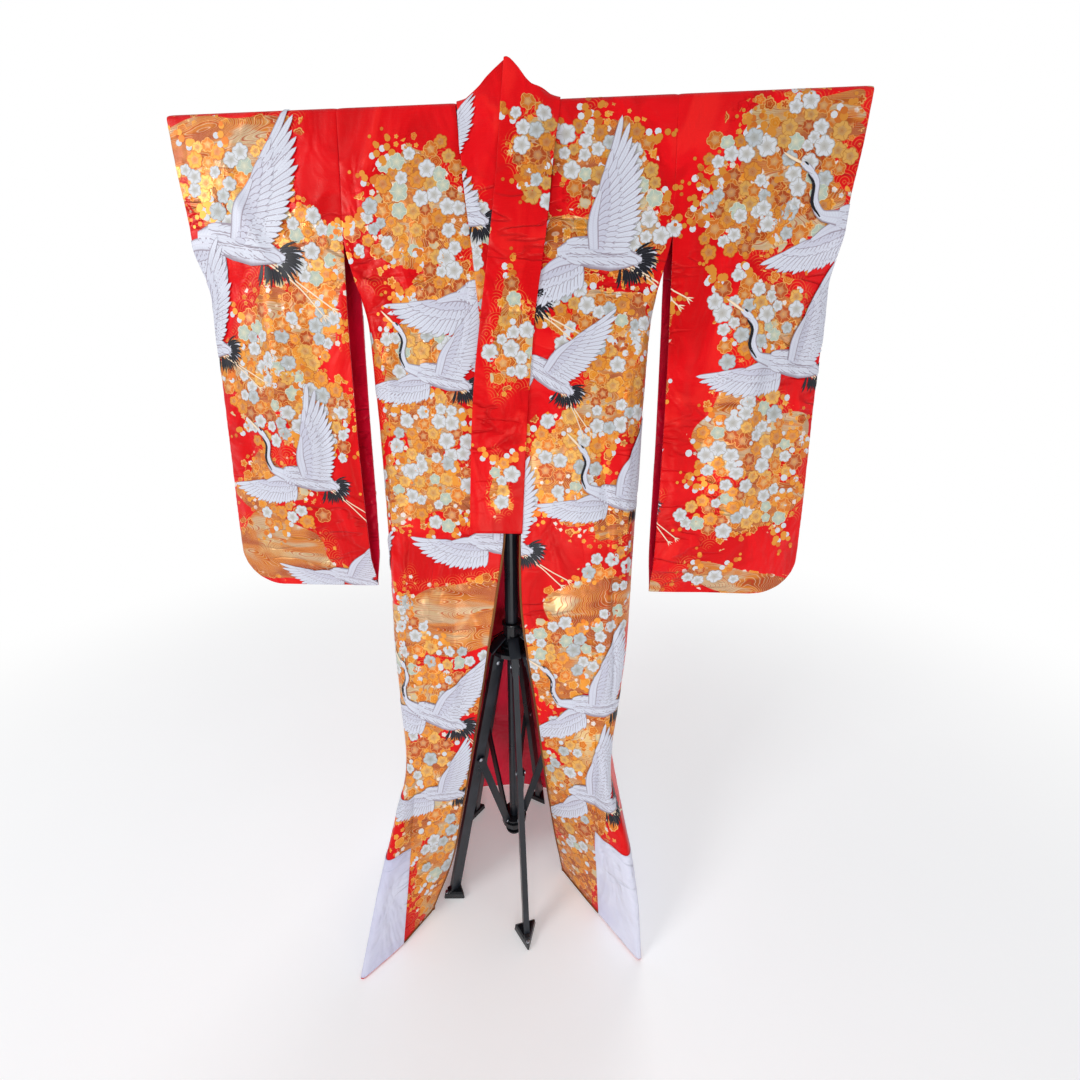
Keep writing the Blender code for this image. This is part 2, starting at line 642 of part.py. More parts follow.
def bar(name, start, end, width, thick, aside, turn, material):
    """A flat bar in the leg's plane (reach, height), moved sideways by aside and turned about the pole."""
    bm = bmesh.new()
    bmesh.ops.create_cube(bm, size=1.0)
    run = Vector((end[0] - start[0], 0, end[1] - start[1]))
    bmesh.ops.scale(bm, verts=bm.verts, vec=(thick, width, run.length))
    mesh = bpy.data.meshes.new(name)
    bm.to_mesh(mesh)
    bm.free()
    obj = add_object(name, mesh, material)
    tilt = -asin(run.x / run.length) if run.z < 0 else asin(run.x / run.length)
    middle = Vector((aside, -(start[0] + end[0]) / 2, (start[1] + end[1]) / 2))
    stood = Matrix.Translation(middle) @ Matrix.Rotation(tilt, 4, "X")
    obj.matrix_local = Matrix.Rotation(turn, 4, "Z") @ stood
    return obj


def stand(materials):
    metal, plastic = materials["black_metal"], materials["black_plastic"]
    hub_top = HUB_Z + HUB_HEIGHT
    bore = LOWER_RADIUS + GAP
    turned(
        "pole_upper",
        (
            (0.0001, POLE_TOP),
            (UPPER_RADIUS * 0.7, POLE_TOP - 0.002),
            (UPPER_RADIUS, POLE_TOP - 0.009),
            (UPPER_RADIUS, hub_top + GAP),
            (0.0001, hub_top + GAP),
        ),
        metal,
    )
    rod(
        "pole_lower",
        LOWER_RADIUS,
        hub_top - LOWER_END,
        Vector((0, 0, (hub_top + LOWER_END) / 2)),
        Matrix(),
        metal,
    )
    turned(
        "hub",
        (
            (HUB_RADIUS, hub_top),
            (HUB_RADIUS, HUB_Z + FLANGE),
            (FLANGE_RADIUS, HUB_Z + FLANGE),
            (FLANGE_RADIUS, HUB_Z),
            (bore, HUB_Z),
            (bore, hub_top),
        ),
        plastic,
    )
    turned(
        "strut_ring",
        (
            (HUB_RADIUS, RING_Z - RING_FLANGE),
            (HUB_RADIUS, RING_Z - RING_HEIGHT),
            (bore, RING_Z - RING_HEIGHT),
            (bore, RING_Z),
            (RING_RADIUS, RING_Z),
            (RING_RADIUS, RING_Z - RING_FLANGE),
        ),
        plastic,
    )
    sideways = Matrix.Rotation(pi / 2, 4, "X")
    knob_turn = Matrix.Rotation(KNOB_TURN, 4, "Z")
    knob = Vector((0, -(HUB_RADIUS + GAP + KNOB_LENGTH / 2), HUB_Z + KNOB_RISE))
    rod("hub_knob", KNOB_RADIUS, KNOB_LENGTH, knob_turn @ knob, knob_turn @ sideways, plastic, 12)
    tube("tee", UPPER_RADIUS + GAP, TEE_RADIUS, BAR_Z - TEE_BELOW, BAR_Z + TEE_ABOVE, plastic)
    for side, word in ((-1, "left"), (1, "right")):
        start = TEE_RADIUS + GAP
        centre = Vector((side * (start + BAR_END) / 2, 0, BAR_Z + BAR_SEAT))
        rod("crossbar_" + word, BAR_RADIUS, BAR_END - start, centre, Matrix.Rotation(pi / 2, 4, "Y"), metal)

    lean = asin((FOOT_REACH - LEG_TOP_REACH) / (HUB_Z - FOOT_HEIGHT))
    corner_drop = LEG_WIDTH / 2 * sin(lean)
    top = (LEG_TOP_REACH, HUB_Z - corner_drop - GAP)
    foot = (FOOT_REACH, FOOT_HEIGHT + corner_drop + GAP)
    pivot = (top[0] + (foot[0] - top[0]) * STRUT_SHARE, top[1] + (foot[1] - top[1]) * STRUT_SHARE)
    strut_low = (STRUT_FOOT_REACH, RING_Z + GAP + 0.004)
    for k in range(LEG_COUNT):
        turn = LEG_TURN + k * 2 * pi / LEG_COUNT
        number = str(k + 1)
        bar("leg_" + number, top, foot, LEG_WIDTH, LEG_THICK, 0.0, turn, metal)
        aside = LEG_THICK / 2 + GAP + STRUT_THICK / 2
        bar("strut_" + number, pivot, strut_low, STRUT_WIDTH, STRUT_THICK, aside, turn, metal)
        bm = bmesh.new()
        bmesh.ops.create_cone(
            bm, cap_ends=True, segments=3, radius1=FOOT_RADIUS, radius2=FOOT_RADIUS * 0.9, depth=FOOT_HEIGHT
        )
        mesh = bpy.data.meshes.new("foot_" + number)
        bm.to_mesh(mesh)
        bm.free()
        pad = add_object("foot_" + number, mesh, plastic)
        place = Matrix.Rotation(turn, 4, "Z") @ Vector((0, -FOOT_REACH, FOOT_HEIGHT / 2))
        pad.matrix_local = Matrix.Translation(place) @ Matrix.Rotation(turn + pi, 4, "Z")
        rounding = pad.modifiers.new("rounding", "BEVEL")
        rounding.width = 0.003
        rounding.segments = 1


def clear_scene():
    for obj in list(bpy.data.objects):
        bpy.data.objects.remove(obj)


clear_scene()
collection = bpy.data.collections.new("uchikake_on_stand")
bpy.context.scene.collection.children.link(collection)
axis = bpy.data.objects.new("pole_axis", None)
axis.location = (0, POLE_Y, 0)
collection.objects.link(axis)
MATERIALS = {
    "brocade": new_material("brocade", (0.78, 0.03, 0.02), 0.45),
    "lining": new_material("lining", (0.42, 0.01, 0.03), 0.5),
    "white_silk": new_material("white_silk", (0.86, 0.86, 0.93), 0.55),
    "gold_silk": new_material("gold_silk", (0.75, 0.42, 0.12), 0.45),
    "black_metal": new_material("black_metal", (0.02, 0.022, 0.028), 0.35, 0.6),
    "black_plastic": new_material("black_plastic", (0.012, 0.013, 0.016), 0.3),
}
body_cloth(MATERIALS)
sleeves(MATERIALS)
collar(MATERIALS)
stand(MATERIALS)
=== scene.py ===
import math
import random
from collections import namedtuple

import bmesh
import bpy
import numpy as np
from mathutils import Matrix, Vector


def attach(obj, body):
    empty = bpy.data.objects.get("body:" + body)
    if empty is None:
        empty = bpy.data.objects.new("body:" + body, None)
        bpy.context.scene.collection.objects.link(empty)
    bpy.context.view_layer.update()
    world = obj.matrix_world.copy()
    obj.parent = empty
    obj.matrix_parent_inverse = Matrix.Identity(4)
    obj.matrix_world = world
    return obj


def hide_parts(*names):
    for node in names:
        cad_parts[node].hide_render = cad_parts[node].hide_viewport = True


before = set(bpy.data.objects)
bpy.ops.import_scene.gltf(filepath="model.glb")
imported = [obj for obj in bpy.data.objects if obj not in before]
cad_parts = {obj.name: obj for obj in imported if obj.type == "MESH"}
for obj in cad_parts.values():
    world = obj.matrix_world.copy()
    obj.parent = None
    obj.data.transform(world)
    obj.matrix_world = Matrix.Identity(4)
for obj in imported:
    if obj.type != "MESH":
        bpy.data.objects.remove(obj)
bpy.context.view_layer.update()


# ---- Camera and studio light ------------------------------------------------------------------
# A short lens close to the robe, a little to the right and above its middle. Four soft boxes and
# a pale room light the silk evenly, as in a plain product studio.
def new_object(name, data):
    """A mesh, light or camera as an object in the scene, at the origin."""
    made = bpy.data.objects.new(name, data)
    bpy.context.scene.collection.objects.link(made)
    return made


class Wire:
    """One output of a shader node, which can be added, scaled and compared like a number."""

    def __init__(self, socket):
        self.socket = socket

    def __add__(self, other):
        return maths("ADD", self, other)

    def __sub__(self, other):
        return maths("SUBTRACT", self, other)

    def __mul__(self, other):
        return maths("MULTIPLY", self, other)

    def __truediv__(self, other):
        return maths("DIVIDE", self, other)

    def __mod__(self, other):
        return maths("MODULO", self, other)

    def __abs__(self):
        return maths("ABSOLUTE", self)


def node(near, kind, sockets=(), **settings):
    """A shader node's outputs, by number and by name. It joins the tree it is given, or that of a wire;
    each socket takes a plain value or a wire."""
    tree = near.socket.id_data if isinstance(near, Wire) else near
    made = tree.nodes.new("ShaderNode" + kind)
    for key, value in settings.items():
        setattr(made, key, value)
    feed(made.inputs, dict(sockets))
    return {key: Wire(socket) for key, socket in [*enumerate(made.outputs), *made.outputs.items()]}


def feed(inputs, values):
    """Joins wires to sockets, or sets plain values on them."""
    for key, value in values.items():
        if isinstance(value, Wire):
            value.socket.id_data.links.new(value.socket, inputs[key])
        else:
            inputs[key].default_value = value


def maths(operation, a, b=0.0):
    return node(a if isinstance(a, Wire) else b, "Math", {0: a, 1: b}, operation=operation)[0]


def rgb(red, green, blue):
    return (red, green, blue, 1.0)


CAMERA_LEFT, CAMERA_DOWN = math.radians(2.96), math.radians(10.66)
lens = bpy.data.cameras.new("camera")
lens.lens, lens.sensor_width = 12.5, 36.0
lens.shift_x, lens.shift_y = 0.0025, -0.0507
lens.clip_start, lens.clip_end = 0.02, 60.0
camera = new_object("camera", lens)
camera.location = (0.1097, -0.83625, 1.245)
level_part = math.cos(CAMERA_DOWN)
looking = (-math.sin(CAMERA_LEFT) * level_part, math.cos(CAMERA_LEFT) * level_part, -math.sin(CAMERA_DOWN))
camera.rotation_euler = Vector(looking).to_track_quat("-Z", "Y").to_euler()
bpy.context.scene.camera = camera
bpy.context.scene.view_settings.view_transform = "Standard"

room = bpy.data.worlds.new("pale room")
room.use_nodes = True
walls = room.node_tree.nodes["Background"]
feed(walls.inputs, {"Color": rgb(0.96, 0.97, 1.0), "Strength": 0.37})
paper = node(room.node_tree, "Background", {"Color": rgb(1.0, 1.0, 1.0)})[0]
seen = node(room.node_tree, "LightPath")["Is Camera Ray"]
either = node(room.node_tree, "MixShader", {0: seen, 1: Wire(walls.outputs[0]), 2: paper})[0]
feed(room.node_tree.nodes["World Output"].inputs, {"Surface": either})
bpy.context.scene.world = room

for name, place, aim, size, power in (
    ("key", (-2.6, -1.9, 2.7), (0.0, 0.0, 1.1), 1.1, 46.0),
    ("fill", (2.8, -2.2, 1.9), (0.0, 0.0, 1.0), 1.8, 10.0),
    ("low", (0.15, -2.4, 0.45), (0.0, 0.2, 0.55), 0.7, 16.0),
    ("rear", (1.2, 3.2, 2.8), (0.0, 0.0, 1.1), 2.4, 44.0),
):
    lamp = bpy.data.lights.new(name, "AREA")
    lamp.size, lamp.energy = size, power
    soft_box = new_object(name, lamp)
    soft_box.location = place
    soft_box.rotation_euler = (Vector(aim) - Vector(place)).to_track_quat("-Z", "Y").to_euler()


# ---- Stand: tubes, legs and struts --------------------------------------------------------------
# A folding light stand of black powder-coated steel: a thick upper tube clamped on a thin lower one,
# five flat legs hinged under the hub, and a strut from each leg to a sliding ring.
def biggest(first, *others):
    for other in others:
        first = maths("MAXIMUM", first, other)
    return first


def between(value, low, high, to_low=0.0, to_high=1.0):
    """A soft step: one value up to a low mark, another from a high mark on."""
    sockets = {"Value": value, "From Min": low, "From Max": high, "To Min": to_low, "To Max": to_high}
    return node(value, "MapRange", sockets, interpolation_type="SMOOTHSTEP")[0]


def overlaid(colour, *layers):
    """A colour with others laid over it in turn, each by its own share."""
    for share, over in layers:
        colour = node(share, "Mix", {0: share, 6: colour, 7: over}, data_type="RGBA")[2]
    return colour


def noise(place, scale, detail, distortion=0.0):
    sockets = {"Vector": place, "Scale": scale, "Detail": detail, "Distortion": distortion}
    return node(place, "TexNoise", sockets)[0]


def bump(height, strength, distance, under=None, invert=False):
    sockets = {"Height": height, "Strength": strength, "Distance": distance}
    return node(height, "Bump", sockets | ({"Normal": under} if under else {}), invert=invert)[0]


def new_finish(name, **fixed):
    """A Principled material; values that never change go straight on its sockets."""
    finish = bpy.data.materials.new(name)
    finish.use_nodes = True
    shader = finish.node_tree.nodes["Principled BSDF"].inputs
    feed(shader, {key.replace("_", " "): value for key, value in fixed.items()})
    return finish, finish.node_tree, shader


def new_group(name, outputs):
    """A shader group that takes a place and puts out values that change over the surface."""
    group = bpy.data.node_groups.new(name, "ShaderNodeTree")
    group.interface.new_socket(name="Place", in_out="INPUT", socket_type="NodeSocketVector")
    for label in outputs:
        group.interface.new_socket(name=label, in_out="OUTPUT", socket_type="NodeSocketFloat")
    return group, Wire(group.nodes.new("NodeGroupInput").outputs[0]), group.nodes.new("NodeGroupOutput").inputs


powder_coat, place, out = new_group("powder coat", ("Rubbed", "Cloudy", "Grain"))
cloudy = noise(place, 14.0, 4.0)
feed(out, {"Rubbed": between(cloudy, 0.52, 0.72), "Cloudy": cloudy, "Grain": noise(place, 900.0, 2.0)})


def painted_metal(name, colour, worn, roughness):
    finish, tree, shader = new_finish(name, Specular_IOR_Level=0.45)
    coat = node(tree, "Group", {"Place": node(tree, "TexCoord")["Object"]}, node_tree=powder_coat)
    feed(shader, {
        "Base Color": overlaid(colour, (coat["Rubbed"], worn)),
        "Roughness": between(coat["Cloudy"], 0.3, 0.7, roughness - 0.06, roughness + 0.08),
        "Normal": bump(coat["Grain"], 0.25, 0.0002),
    })
    return finish


black_metal = painted_metal("black_metal", rgb(0.009, 0.012, 0.018), rgb(0.020, 0.024, 0.034), 0.32)
black_plastic = painted_metal("black_plastic", rgb(0.009, 0.010, 0.013), rgb(0.016, 0.018, 0.022), 0.24)
PLASTIC_PARTS = ("hub", "tee", "foot", "strut_ring")
for part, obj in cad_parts.items():
    if part.startswith(("pole", "crossbar", "leg", "strut", *PLASTIC_PARTS)):
        obj.data.materials.clear()
        obj.data.materials.append(black_plastic if part.startswith(PLASTIC_PARTS) else black_metal)

# ---- Stand: hinge cheeks, bolts and feet ----------------------------------------------------------
# Pressed steel cheeks under the hub that each leg hinges between, bright domed bolts through every
# hinge and strut end, and a ridge with its own bolt on each plastic foot.
POLE_Y = 0.02725
LEG_TURNS = [math.radians(15.3 + 72 * k) for k in range(5)]
LEG_TOP, LEG_FOOT = np.array((0.039, 0.655)), np.array((0.176, 0.023))  # out from the pole, and up
STRUT_SHARE, STRUT_FOOT = 0.43, np.array((0.026, 0.146))
HALF_LEG, STRUT_THICK = 0.00675, 0.005
CHEEK_THICK, CHEEK_ASIDE, CHEEK_BOLT_ASIDE = 0.0022, HALF_LEG + 0.0014, HALF_LEG + 0.0034
# Bolts, each by its radius, length and eased edge, and a bolt's middle from the face that it sits on.
HINGE_BOLT, PIVOT_BOLT, STRUT_BOLT = (0.0052, 0.0030, 0.0012), (0.0046, 0.0028, 0.0012), (0.0040, 0.0026, 0.0010)
FOOT_BOLT, KNOB_BOLT, BOLT_MIDDLE = (0.0042, 0.0026, 0.0010), (0.0048, 0.0030, 0.0010), 0.0012
# Plates in a leg's plane, each from a place to a place, out from the pole and up, then its width and thickness.
HUB_WEB = (0.0605, 0.6670), (0.0225, 0.6990), 0.0032, 0.0270
FOOT_RIDGE = (0.166, 0.0195), (0.196, 0.0195), 0.0070, 0.013
FOOT_BOLT_AT = (0.199, 0.0188)
UPWARD = (0, 0, 1)
KNOB_TURN, KNOB_Z = math.radians(50), 0.718
bolt_steel, tree, shader = new_finish("bolt_steel", Metallic=1.0, Specular_IOR_Level=0.5)
smudge = noise(node(tree, "TexCoord")["Object"], 220.0, 2.0)
feed(shader, {
    "Base Color": overlaid(rgb(0.36, 0.40, 0.46), (smudge, rgb(0.62, 0.66, 0.72))),
    "Roughness": between(smudge, 0.3, 0.7, 0.22, 0.38),
})


def stand_piece(name, bm, finish):
    """Finished stand hardware as one object: faces outward, edges shaded by angle. Rounding an edge leaves
    the points in a chance order, so they are put in order of place, and the faces in order of their points."""
    bmesh.ops.recalc_face_normals(bm, faces=bm.faces)
    spots = {vert: tuple(round(value, 6) for value in vert.co) for vert in bm.verts}
    number = {vert: i for i, vert in enumerate(sorted(bm.verts, key=spots.get))}
    faces = []
    for face in bm.faces:
        ring = [number[vert] for vert in face.verts]
        first = ring.index(min(ring))
        faces.append(ring[first:] + ring[:first])
    mesh = bpy.data.meshes.new(name)
    mesh.from_pydata(sorted(spots.values()), [], sorted(faces))
    bm.free()
    mesh.materials.append(finish)
    mesh.shade_smooth()
    mesh.set_sharp_from_angle(angle=math.radians(40))
    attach(new_object(name, mesh), "root")


def edges_of(made):
    """The edges of new points, each once and in a fixed order."""
    return list(dict.fromkeys(edge for vert in made for edge in vert.link_edges))


def eased(bm, edges, by):
    bmesh.ops.bevel(bm, geom=edges, offset=by, segments=2, profile=0.5, affect="EDGES", material=-1)


def round_bar(bm, place, along, radius, length, easing, sides=16):
    """A short round bar about a place, its length along a direction, with its end edges rounded."""
    where = Matrix.Translation(place) @ Vector(along).to_track_quat("Z", "Y").to_matrix().to_4x4()
    made = bmesh.ops.create_cone(
        bm, cap_ends=True, segments=sides, radius1=radius, radius2=radius, depth=length, matrix=where
    )["verts"]
    ends = [edge for edge in edges_of(made) if any(len(face.verts) == sides for face in edge.link_faces)]
    eased(bm, ends, min(easing, length * 0.45, radius * 0.6))


def plate(bm, low, high, wide, thick, aside, turn):
    """A flat bar between two places in a leg's own upright plane, set aside from that plane."""
    low, high = np.array(low), np.array(high)
    run, middle = high - low, (low + high) / 2
    size = Matrix.Diagonal((thick, wide, np.hypot(*run), 1.0))
    lean = Matrix.Rotation(math.atan2(run[0], run[1]), 4, "X")
    where = Matrix.Rotation(turn, 4, "Z") @ Matrix.Translation((aside, -middle[0], middle[1])) @ lean
    made = bmesh.ops.create_cube(bm, size=1.0, matrix=Matrix.Translation((0, POLE_Y, 0)) @ where @ size)["verts"]
    eased(bm, edges_of(made), min(0.0012, thick * 0.35))


def leg_place(turn, reach_and_height, aside):
    reach, height = reach_and_height
    return Matrix.Translation((0, POLE_Y, 0)) @ Matrix.Rotation(turn, 4, "Z") @ Vector((aside, -reach, height))


cheeks, bolts, ridges = bmesh.new(), bmesh.new(), bmesh.new()
leg = LEG_FOOT - LEG_TOP
pivot = LEG_TOP + leg * STRUT_SHARE
for turn in LEG_TURNS:
    across_leg = Matrix.Rotation(turn, 4, "Z") @ Vector((1, 0, 0))
    plate(cheeks, *HUB_WEB, 0.0, turn)
    for hand, over_strut in ((-1, BOLT_MIDDLE), (1, 0.0005 + STRUT_THICK + BOLT_MIDDLE)):
        plate(cheeks, LEG_TOP + leg * 0.060, LEG_TOP - leg * 0.004, 0.029, CHEEK_THICK, hand * CHEEK_ASIDE, turn)
        hinge = leg_place(turn, LEG_TOP + leg * 0.030, hand * CHEEK_BOLT_ASIDE)
        round_bar(bolts, hinge, across_leg, *HINGE_BOLT)
        round_bar(bolts, leg_place(turn, pivot, hand * (HALF_LEG + over_strut)), across_leg, *PIVOT_BOLT)
    for aside in (HALF_LEG + STRUT_THICK / 2 + 0.0038, HALF_LEG - STRUT_THICK / 2 + 0.0018):
        round_bar(bolts, leg_place(turn, STRUT_FOOT, aside), across_leg, *STRUT_BOLT)
    plate(ridges, *FOOT_RIDGE, 0.0, turn)
    round_bar(bolts, leg_place(turn, FOOT_BOLT_AT, 0.0), UPWARD, *FOOT_BOLT)
stand_piece("stand_hinge_cheeks", cheeks, black_metal)
stand_piece("stand_foot_ridges", ridges, black_plastic)

collar_rings = bmesh.new()
for top, radius, tall in (
    (0.7330, 0.0242, 0.0075), (0.6760, 0.0300, 0.0080), (0.1480, 0.0300, 0.0060), (0.1050, 0.0240, 0.0050),
):
    round_bar(collar_rings, (0, POLE_Y, top - tall / 2), UPWARD, radius, tall, 0.0018, sides=40)
stand_piece("stand_collar_rings", collar_rings, black_plastic)
knob_out = Matrix.Rotation(KNOB_TURN, 4, "Z") @ Vector((0, -1, 0))
knob_axis = Vector((0, POLE_Y, KNOB_Z))
grip = bmesh.new()
round_bar(grip, knob_axis + knob_out * 0.0490, knob_out, 0.0125, 0.0110, 0.0020, sides=12)
stand_piece("stand_knob_grip", grip, black_plastic)
round_bar(bolts, knob_axis + knob_out * 0.0552, knob_out, *KNOB_BOLT)
stand_piece("stand_bolts", bolts, bolt_steel)


# ---- Brocade: the figured silk -----------------------------------------------------------------
# Red satin with woven clouds of gold, flowing-water lines and packed small blossoms. Every panel
# carries a map in metres: across the cloth and up it, so the figuring runs on over the seams.
def in_metres(kind, lengths, rows):
    """Pattern rows of one kind, whose first few columns are lengths written in millimetres."""
    return tuple(kind(*(value / 1000 for value in row[:lengths]), *row[lengths:]) for row in rows)


# Ovals of gold: their place, half sizes and turn in degrees, and 1 where they are left as open water.
Cloud = namedtuple("Cloud", "across up half_width half_height turn water", defaults=(0, 0))
FRONT_GOLD = in_metres(Cloud, 4, (
    (-600, 1790, 120, 45, 8, 1), (-560, 1690, 110, 75), (-405, 1560, 70, 110, 10),
    (-470, 1430, 100, 80, -20), (-560, 1330, 100, 90, 10), (-440, 1260, 75, 110), (-560, 1080, 100, 60, 10),
    (-570, 915, 130, 80, -8, 1), (-170, 1640, 115, 105), (-110, 1480, 70, 70), (-200, 1380, 75, 60, 20),
    (-170, 1230, 90, 80), (-180, 1090, 120, 90), (-255, 720, 50, 110), (-140, 770, 130, 80, 12, 1),
    (-200, 560, 130, 90), (-170, 340, 120, 130), (-140, 120, 90, 140), (200, 1730, 90, 70),
    (200, 1590, 120, 75), (230, 1420, 95, 85), (230, 1270, 80, 90), (130, 1130, 90, 120),
    (240, 1040, 70, 70), (205, 790, 120, 85, 25, 1), (140, 660, 110, 100), (200, 480, 110, 110),
    (150, 270, 95, 150), (150, 80, 80, 110), (560, 1780, 110, 55), (540, 1680, 125, 95, 10),
    (500, 1600, 80, 40), (540, 1440, 80, 70), (545, 1200, 110, 90, -10), (560, 1050, 100, 70, 15),
    (540, 860, 130, 30, -10, 1), (475, 1205, 55, 80, 0, 1), (600, 1790, 80, 30, 20, 1),
    (-215, 1330, 45, 50, 0, 1),
))
BACK_GOLD = in_metres(Cloud, 4, (
    (-560, 1740, 110, 80), (-480, 1560, 100, 80, 10), (-560, 1330, 100, 110), (-460, 1120, 100, 80),
    (-560, 920, 110, 70), (560, 1700, 110, 90), (460, 1520, 90, 90), (560, 1290, 100, 100),
    (470, 1080, 100, 80), (560, 900, 110, 60), (-170, 1650, 120, 90), (170, 1640, 110, 100),
    (0, 1470, 150, 90), (-200, 1290, 110, 100), (200, 1240, 120, 110), (-10, 1080, 130, 90),
    (-230, 880, 110, 110), (210, 820, 120, 110), (0, 640, 160, 110), (-210, 470, 130, 130),
    (220, 450, 130, 130), (0, 280, 170, 110), (-240, 140, 130, 110), (240, 130, 130, 110),
))
COLLAR_GOLD = in_metres(Cloud, 4, (
    (62, 1745, 38, 60), (20, 1390, 50, 85), (-55, 1620, 20, 60), (-15, 1090, 20, 60),
))


def cloud_cover(clouds, across, up):
    """1 inside the gold clouds, falling to 0 a little way outside them."""
    cover = np.zeros(np.shape(across))
    for cloud in clouds:
        c, s = math.cos(math.radians(cloud.turn)), math.sin(math.radians(cloud.turn))
        x = ((across - cloud.across) * c + (up - cloud.up) * s) / cloud.half_width
        y = ((up - cloud.up) * c - (across - cloud.across) * s) / cloud.half_height
        angle, phase = np.arctan2(y, x), 9.0 * cloud.across + 7.0 * cloud.up
        lobes = 1.0 + 0.13 * np.sin(3 * angle + 5 * phase) + 0.09 * np.sin(5 * angle + 11 * phase)
        cover = np.maximum(cover, 1.5 - lobes * np.sqrt(x * x + y * y))
    return np.clip(cover, 0.0, 1.0)


def fraction(value):
    return maths("FRACT", value)


def parts(vector):
    return node(vector, "SeparateXYZ", {0: vector})


def stretched(place, scale, turn=0.0):
    return node(place, "Mapping", {"Vector": place, "Scale": scale, "Rotation": (0.0, 0.0, turn)})[0]


silk_hand, place, out = new_group("silk hand", ("Drift", "Weft", "Wrinkle", "Crease"))
pressed = noise(stretched(place, (7.0, 20.0, 1.0), 0.35), 1.0, 2.0, 0.5)
patchy = between(noise(place, 3.6, 1.0), 0.47, 0.60)
below_shoulder = between(parts(place)[1], 1.79, 1.66)
feed(out, {
    "Drift": noise(place, 5.0, 3.0),
    "Weft": noise(stretched(place, (40.0, 700.0, 1.0)), 1.0, 2.0),
    "Wrinkle": noise(stretched(place, (9.0, 5.0, 1.0), 0.5), 1.0, 3.0, 0.9),
    "Crease": between(abs(pressed - 0.5), 0.055, 0.0) * patchy * below_shoulder,
})


def silk_relief(hand, woven, strength, depth, wrinkled):
    """The satin's slack wrinkles and pressed creases, with the finer woven relief over them."""
    slack = bump(hand["Wrinkle"], wrinkled, 0.045)
    return bump(woven, strength, depth, bump(hand["Crease"], 0.85, 0.0028, slack, invert=True))


def contour_lines(place, scale, count, width):
    """Thin lines that wind round the hills of a smooth field, as water lines are drawn."""
    return between(abs(fraction(noise(place, scale, 0.0) * count) - 0.5), width, width * 0.4)


def wave_scales(across, up, size):
    """The sea-wave pattern: rows of nested arcs, each row shifted by half an arc."""
    row = up / (size * 0.5)
    shift = (abs(maths("FLOOR", row)) % 2.0) * 0.5
    x, y = fraction(across / size + shift) - 0.5, fraction(row) * 0.5
    far = maths("SQRT", x * x + y * y)
    return between(abs(fraction(far * 7.0) - 0.5), 0.16, 0.06)


def small_blooms(place, scale, ripple):
    """Round five-lobed blossoms, one to a cell: how far inside, its outline, and two random picks."""
    cells = node(place, "TexVoronoi", {"Vector": place, "Scale": scale, "Randomness": 0.8})
    away = parts(node(place, "VectorMath", {0: place, 1: cells["Position"]}, operation="SUBTRACT")[0])
    lobe = abs(maths("COSINE", maths("ARCTAN2", away[1], away[0]) * 2.5))
    far = cells["Distance"] / (lobe * 0.09 + 0.36)
    inside = between(far, 1.04, 0.97)
    rings = between(abs(fraction(far * ripple) - 0.5), 0.16, 0.06)
    rim = biggest(between(far, 0.80, 0.88), rings * 0.6)
    picks = parts(cells["Color"])
    return inside, rim * inside, picks[0], picks[1]


brocade, tree, shader = new_finish("brocade", Specular_IOR_Level=0.26, Specular_Tint=rgb(1.0, 0.45, 0.35))
cloth_map = node(tree, "UVMap", uv_map="cloth")[0]
split = parts(cloth_map)
across, up = split[0], split[1]
gold_mark, water_mark = (node(tree, "Attribute", attribute_name=name)["Fac"] for name in ("gold", "water"))
stray = noise(cloth_map, 9.0, 2.0) - 0.5
near_gold = between(gold_mark, 0.04, 0.22)
hand = node(tree, "Group", {"Place": cloth_map}, node_tree=silk_hand)
weft, wrinkle = hand["Weft"], hand["Wrinkle"]
scales = wave_scales(across, up, 0.042) * between(noise(cloth_map, 4.2, 0.0), 0.50, 0.53) * near_gold
# The red satin, with painted shade in the hollows of its slack wrinkles and along its pressed creases, and a painted
# highlight on the wrinkles' crests.
red = overlaid(
    rgb(0.66, 0.0015, 0.005),
    (between(hand["Drift"], 0.3, 0.7), rgb(0.80, 0.003, 0.009)),
    (between(weft, 0.45, 0.75, 0.0, 0.20), rgb(0.90, 0.018, 0.014)),
    (between(wrinkle, 0.50, 0.40, 0.0, 0.45), rgb(0.52, 0.001, 0.004)),
    (between(wrinkle, 0.56, 0.66, 0.0, 0.5), rgb(0.92, 0.022, 0.018)),
    (hand["Crease"] * 0.30, rgb(0.34, 0.001, 0.003)),
    (scales * 0.55, rgb(0.80, 0.20, 0.05)),
)
# the gold ground, drawn over with flowing water
in_gold = biggest(between(gold_mark + stray * 1.1, 0.60, 0.62), between(water_mark, 0.40, 0.43))
blooming = between(water_mark + stray, 0.62, 0.34)
glint = noise(cloth_map, 7.0, 3.0, 0.6)
bank = noise(stretched(cloth_map, (5.0, 17.0, 1.0)), 1.0, 2.0, 0.8)
flat_wide = stretched(cloth_map, (1.0, 3.0, 1.0))
swirl = node(tree, "TexNoise", {"Vector": flat_wide, "Scale": 14.0, "Detail": 1.0})[1]
swirl = node(tree, "VectorMath", {0: swirl, 1: (0.035, 0.035, 0.0)}, operation="MULTIPLY")[0]
bent = node(tree, "VectorMath", {0: flat_wide, 1: swirl}, operation="ADD")[0]
water, fine_water = contour_lines(bent, 6.0, 30.0, 0.11), contour_lines(bent, 6.0, 60.0, 0.10)
gold = overlaid(
    rgb(0.42, 0.085, 0.014),
    (between(bank, 0.38, 0.52), rgb(0.62, 0.20, 0.030)),
    (between(bank, 0.54, 0.62), rgb(0.58, 0.40, 0.23)),
    (between(glint, 0.56, 0.70), rgb(0.78, 0.55, 0.25)),
    (water * 0.70, rgb(0.46, 0.030, 0.010)),
    (fine_water * 0.45, rgb(0.80, 0.68, 0.50)),
)
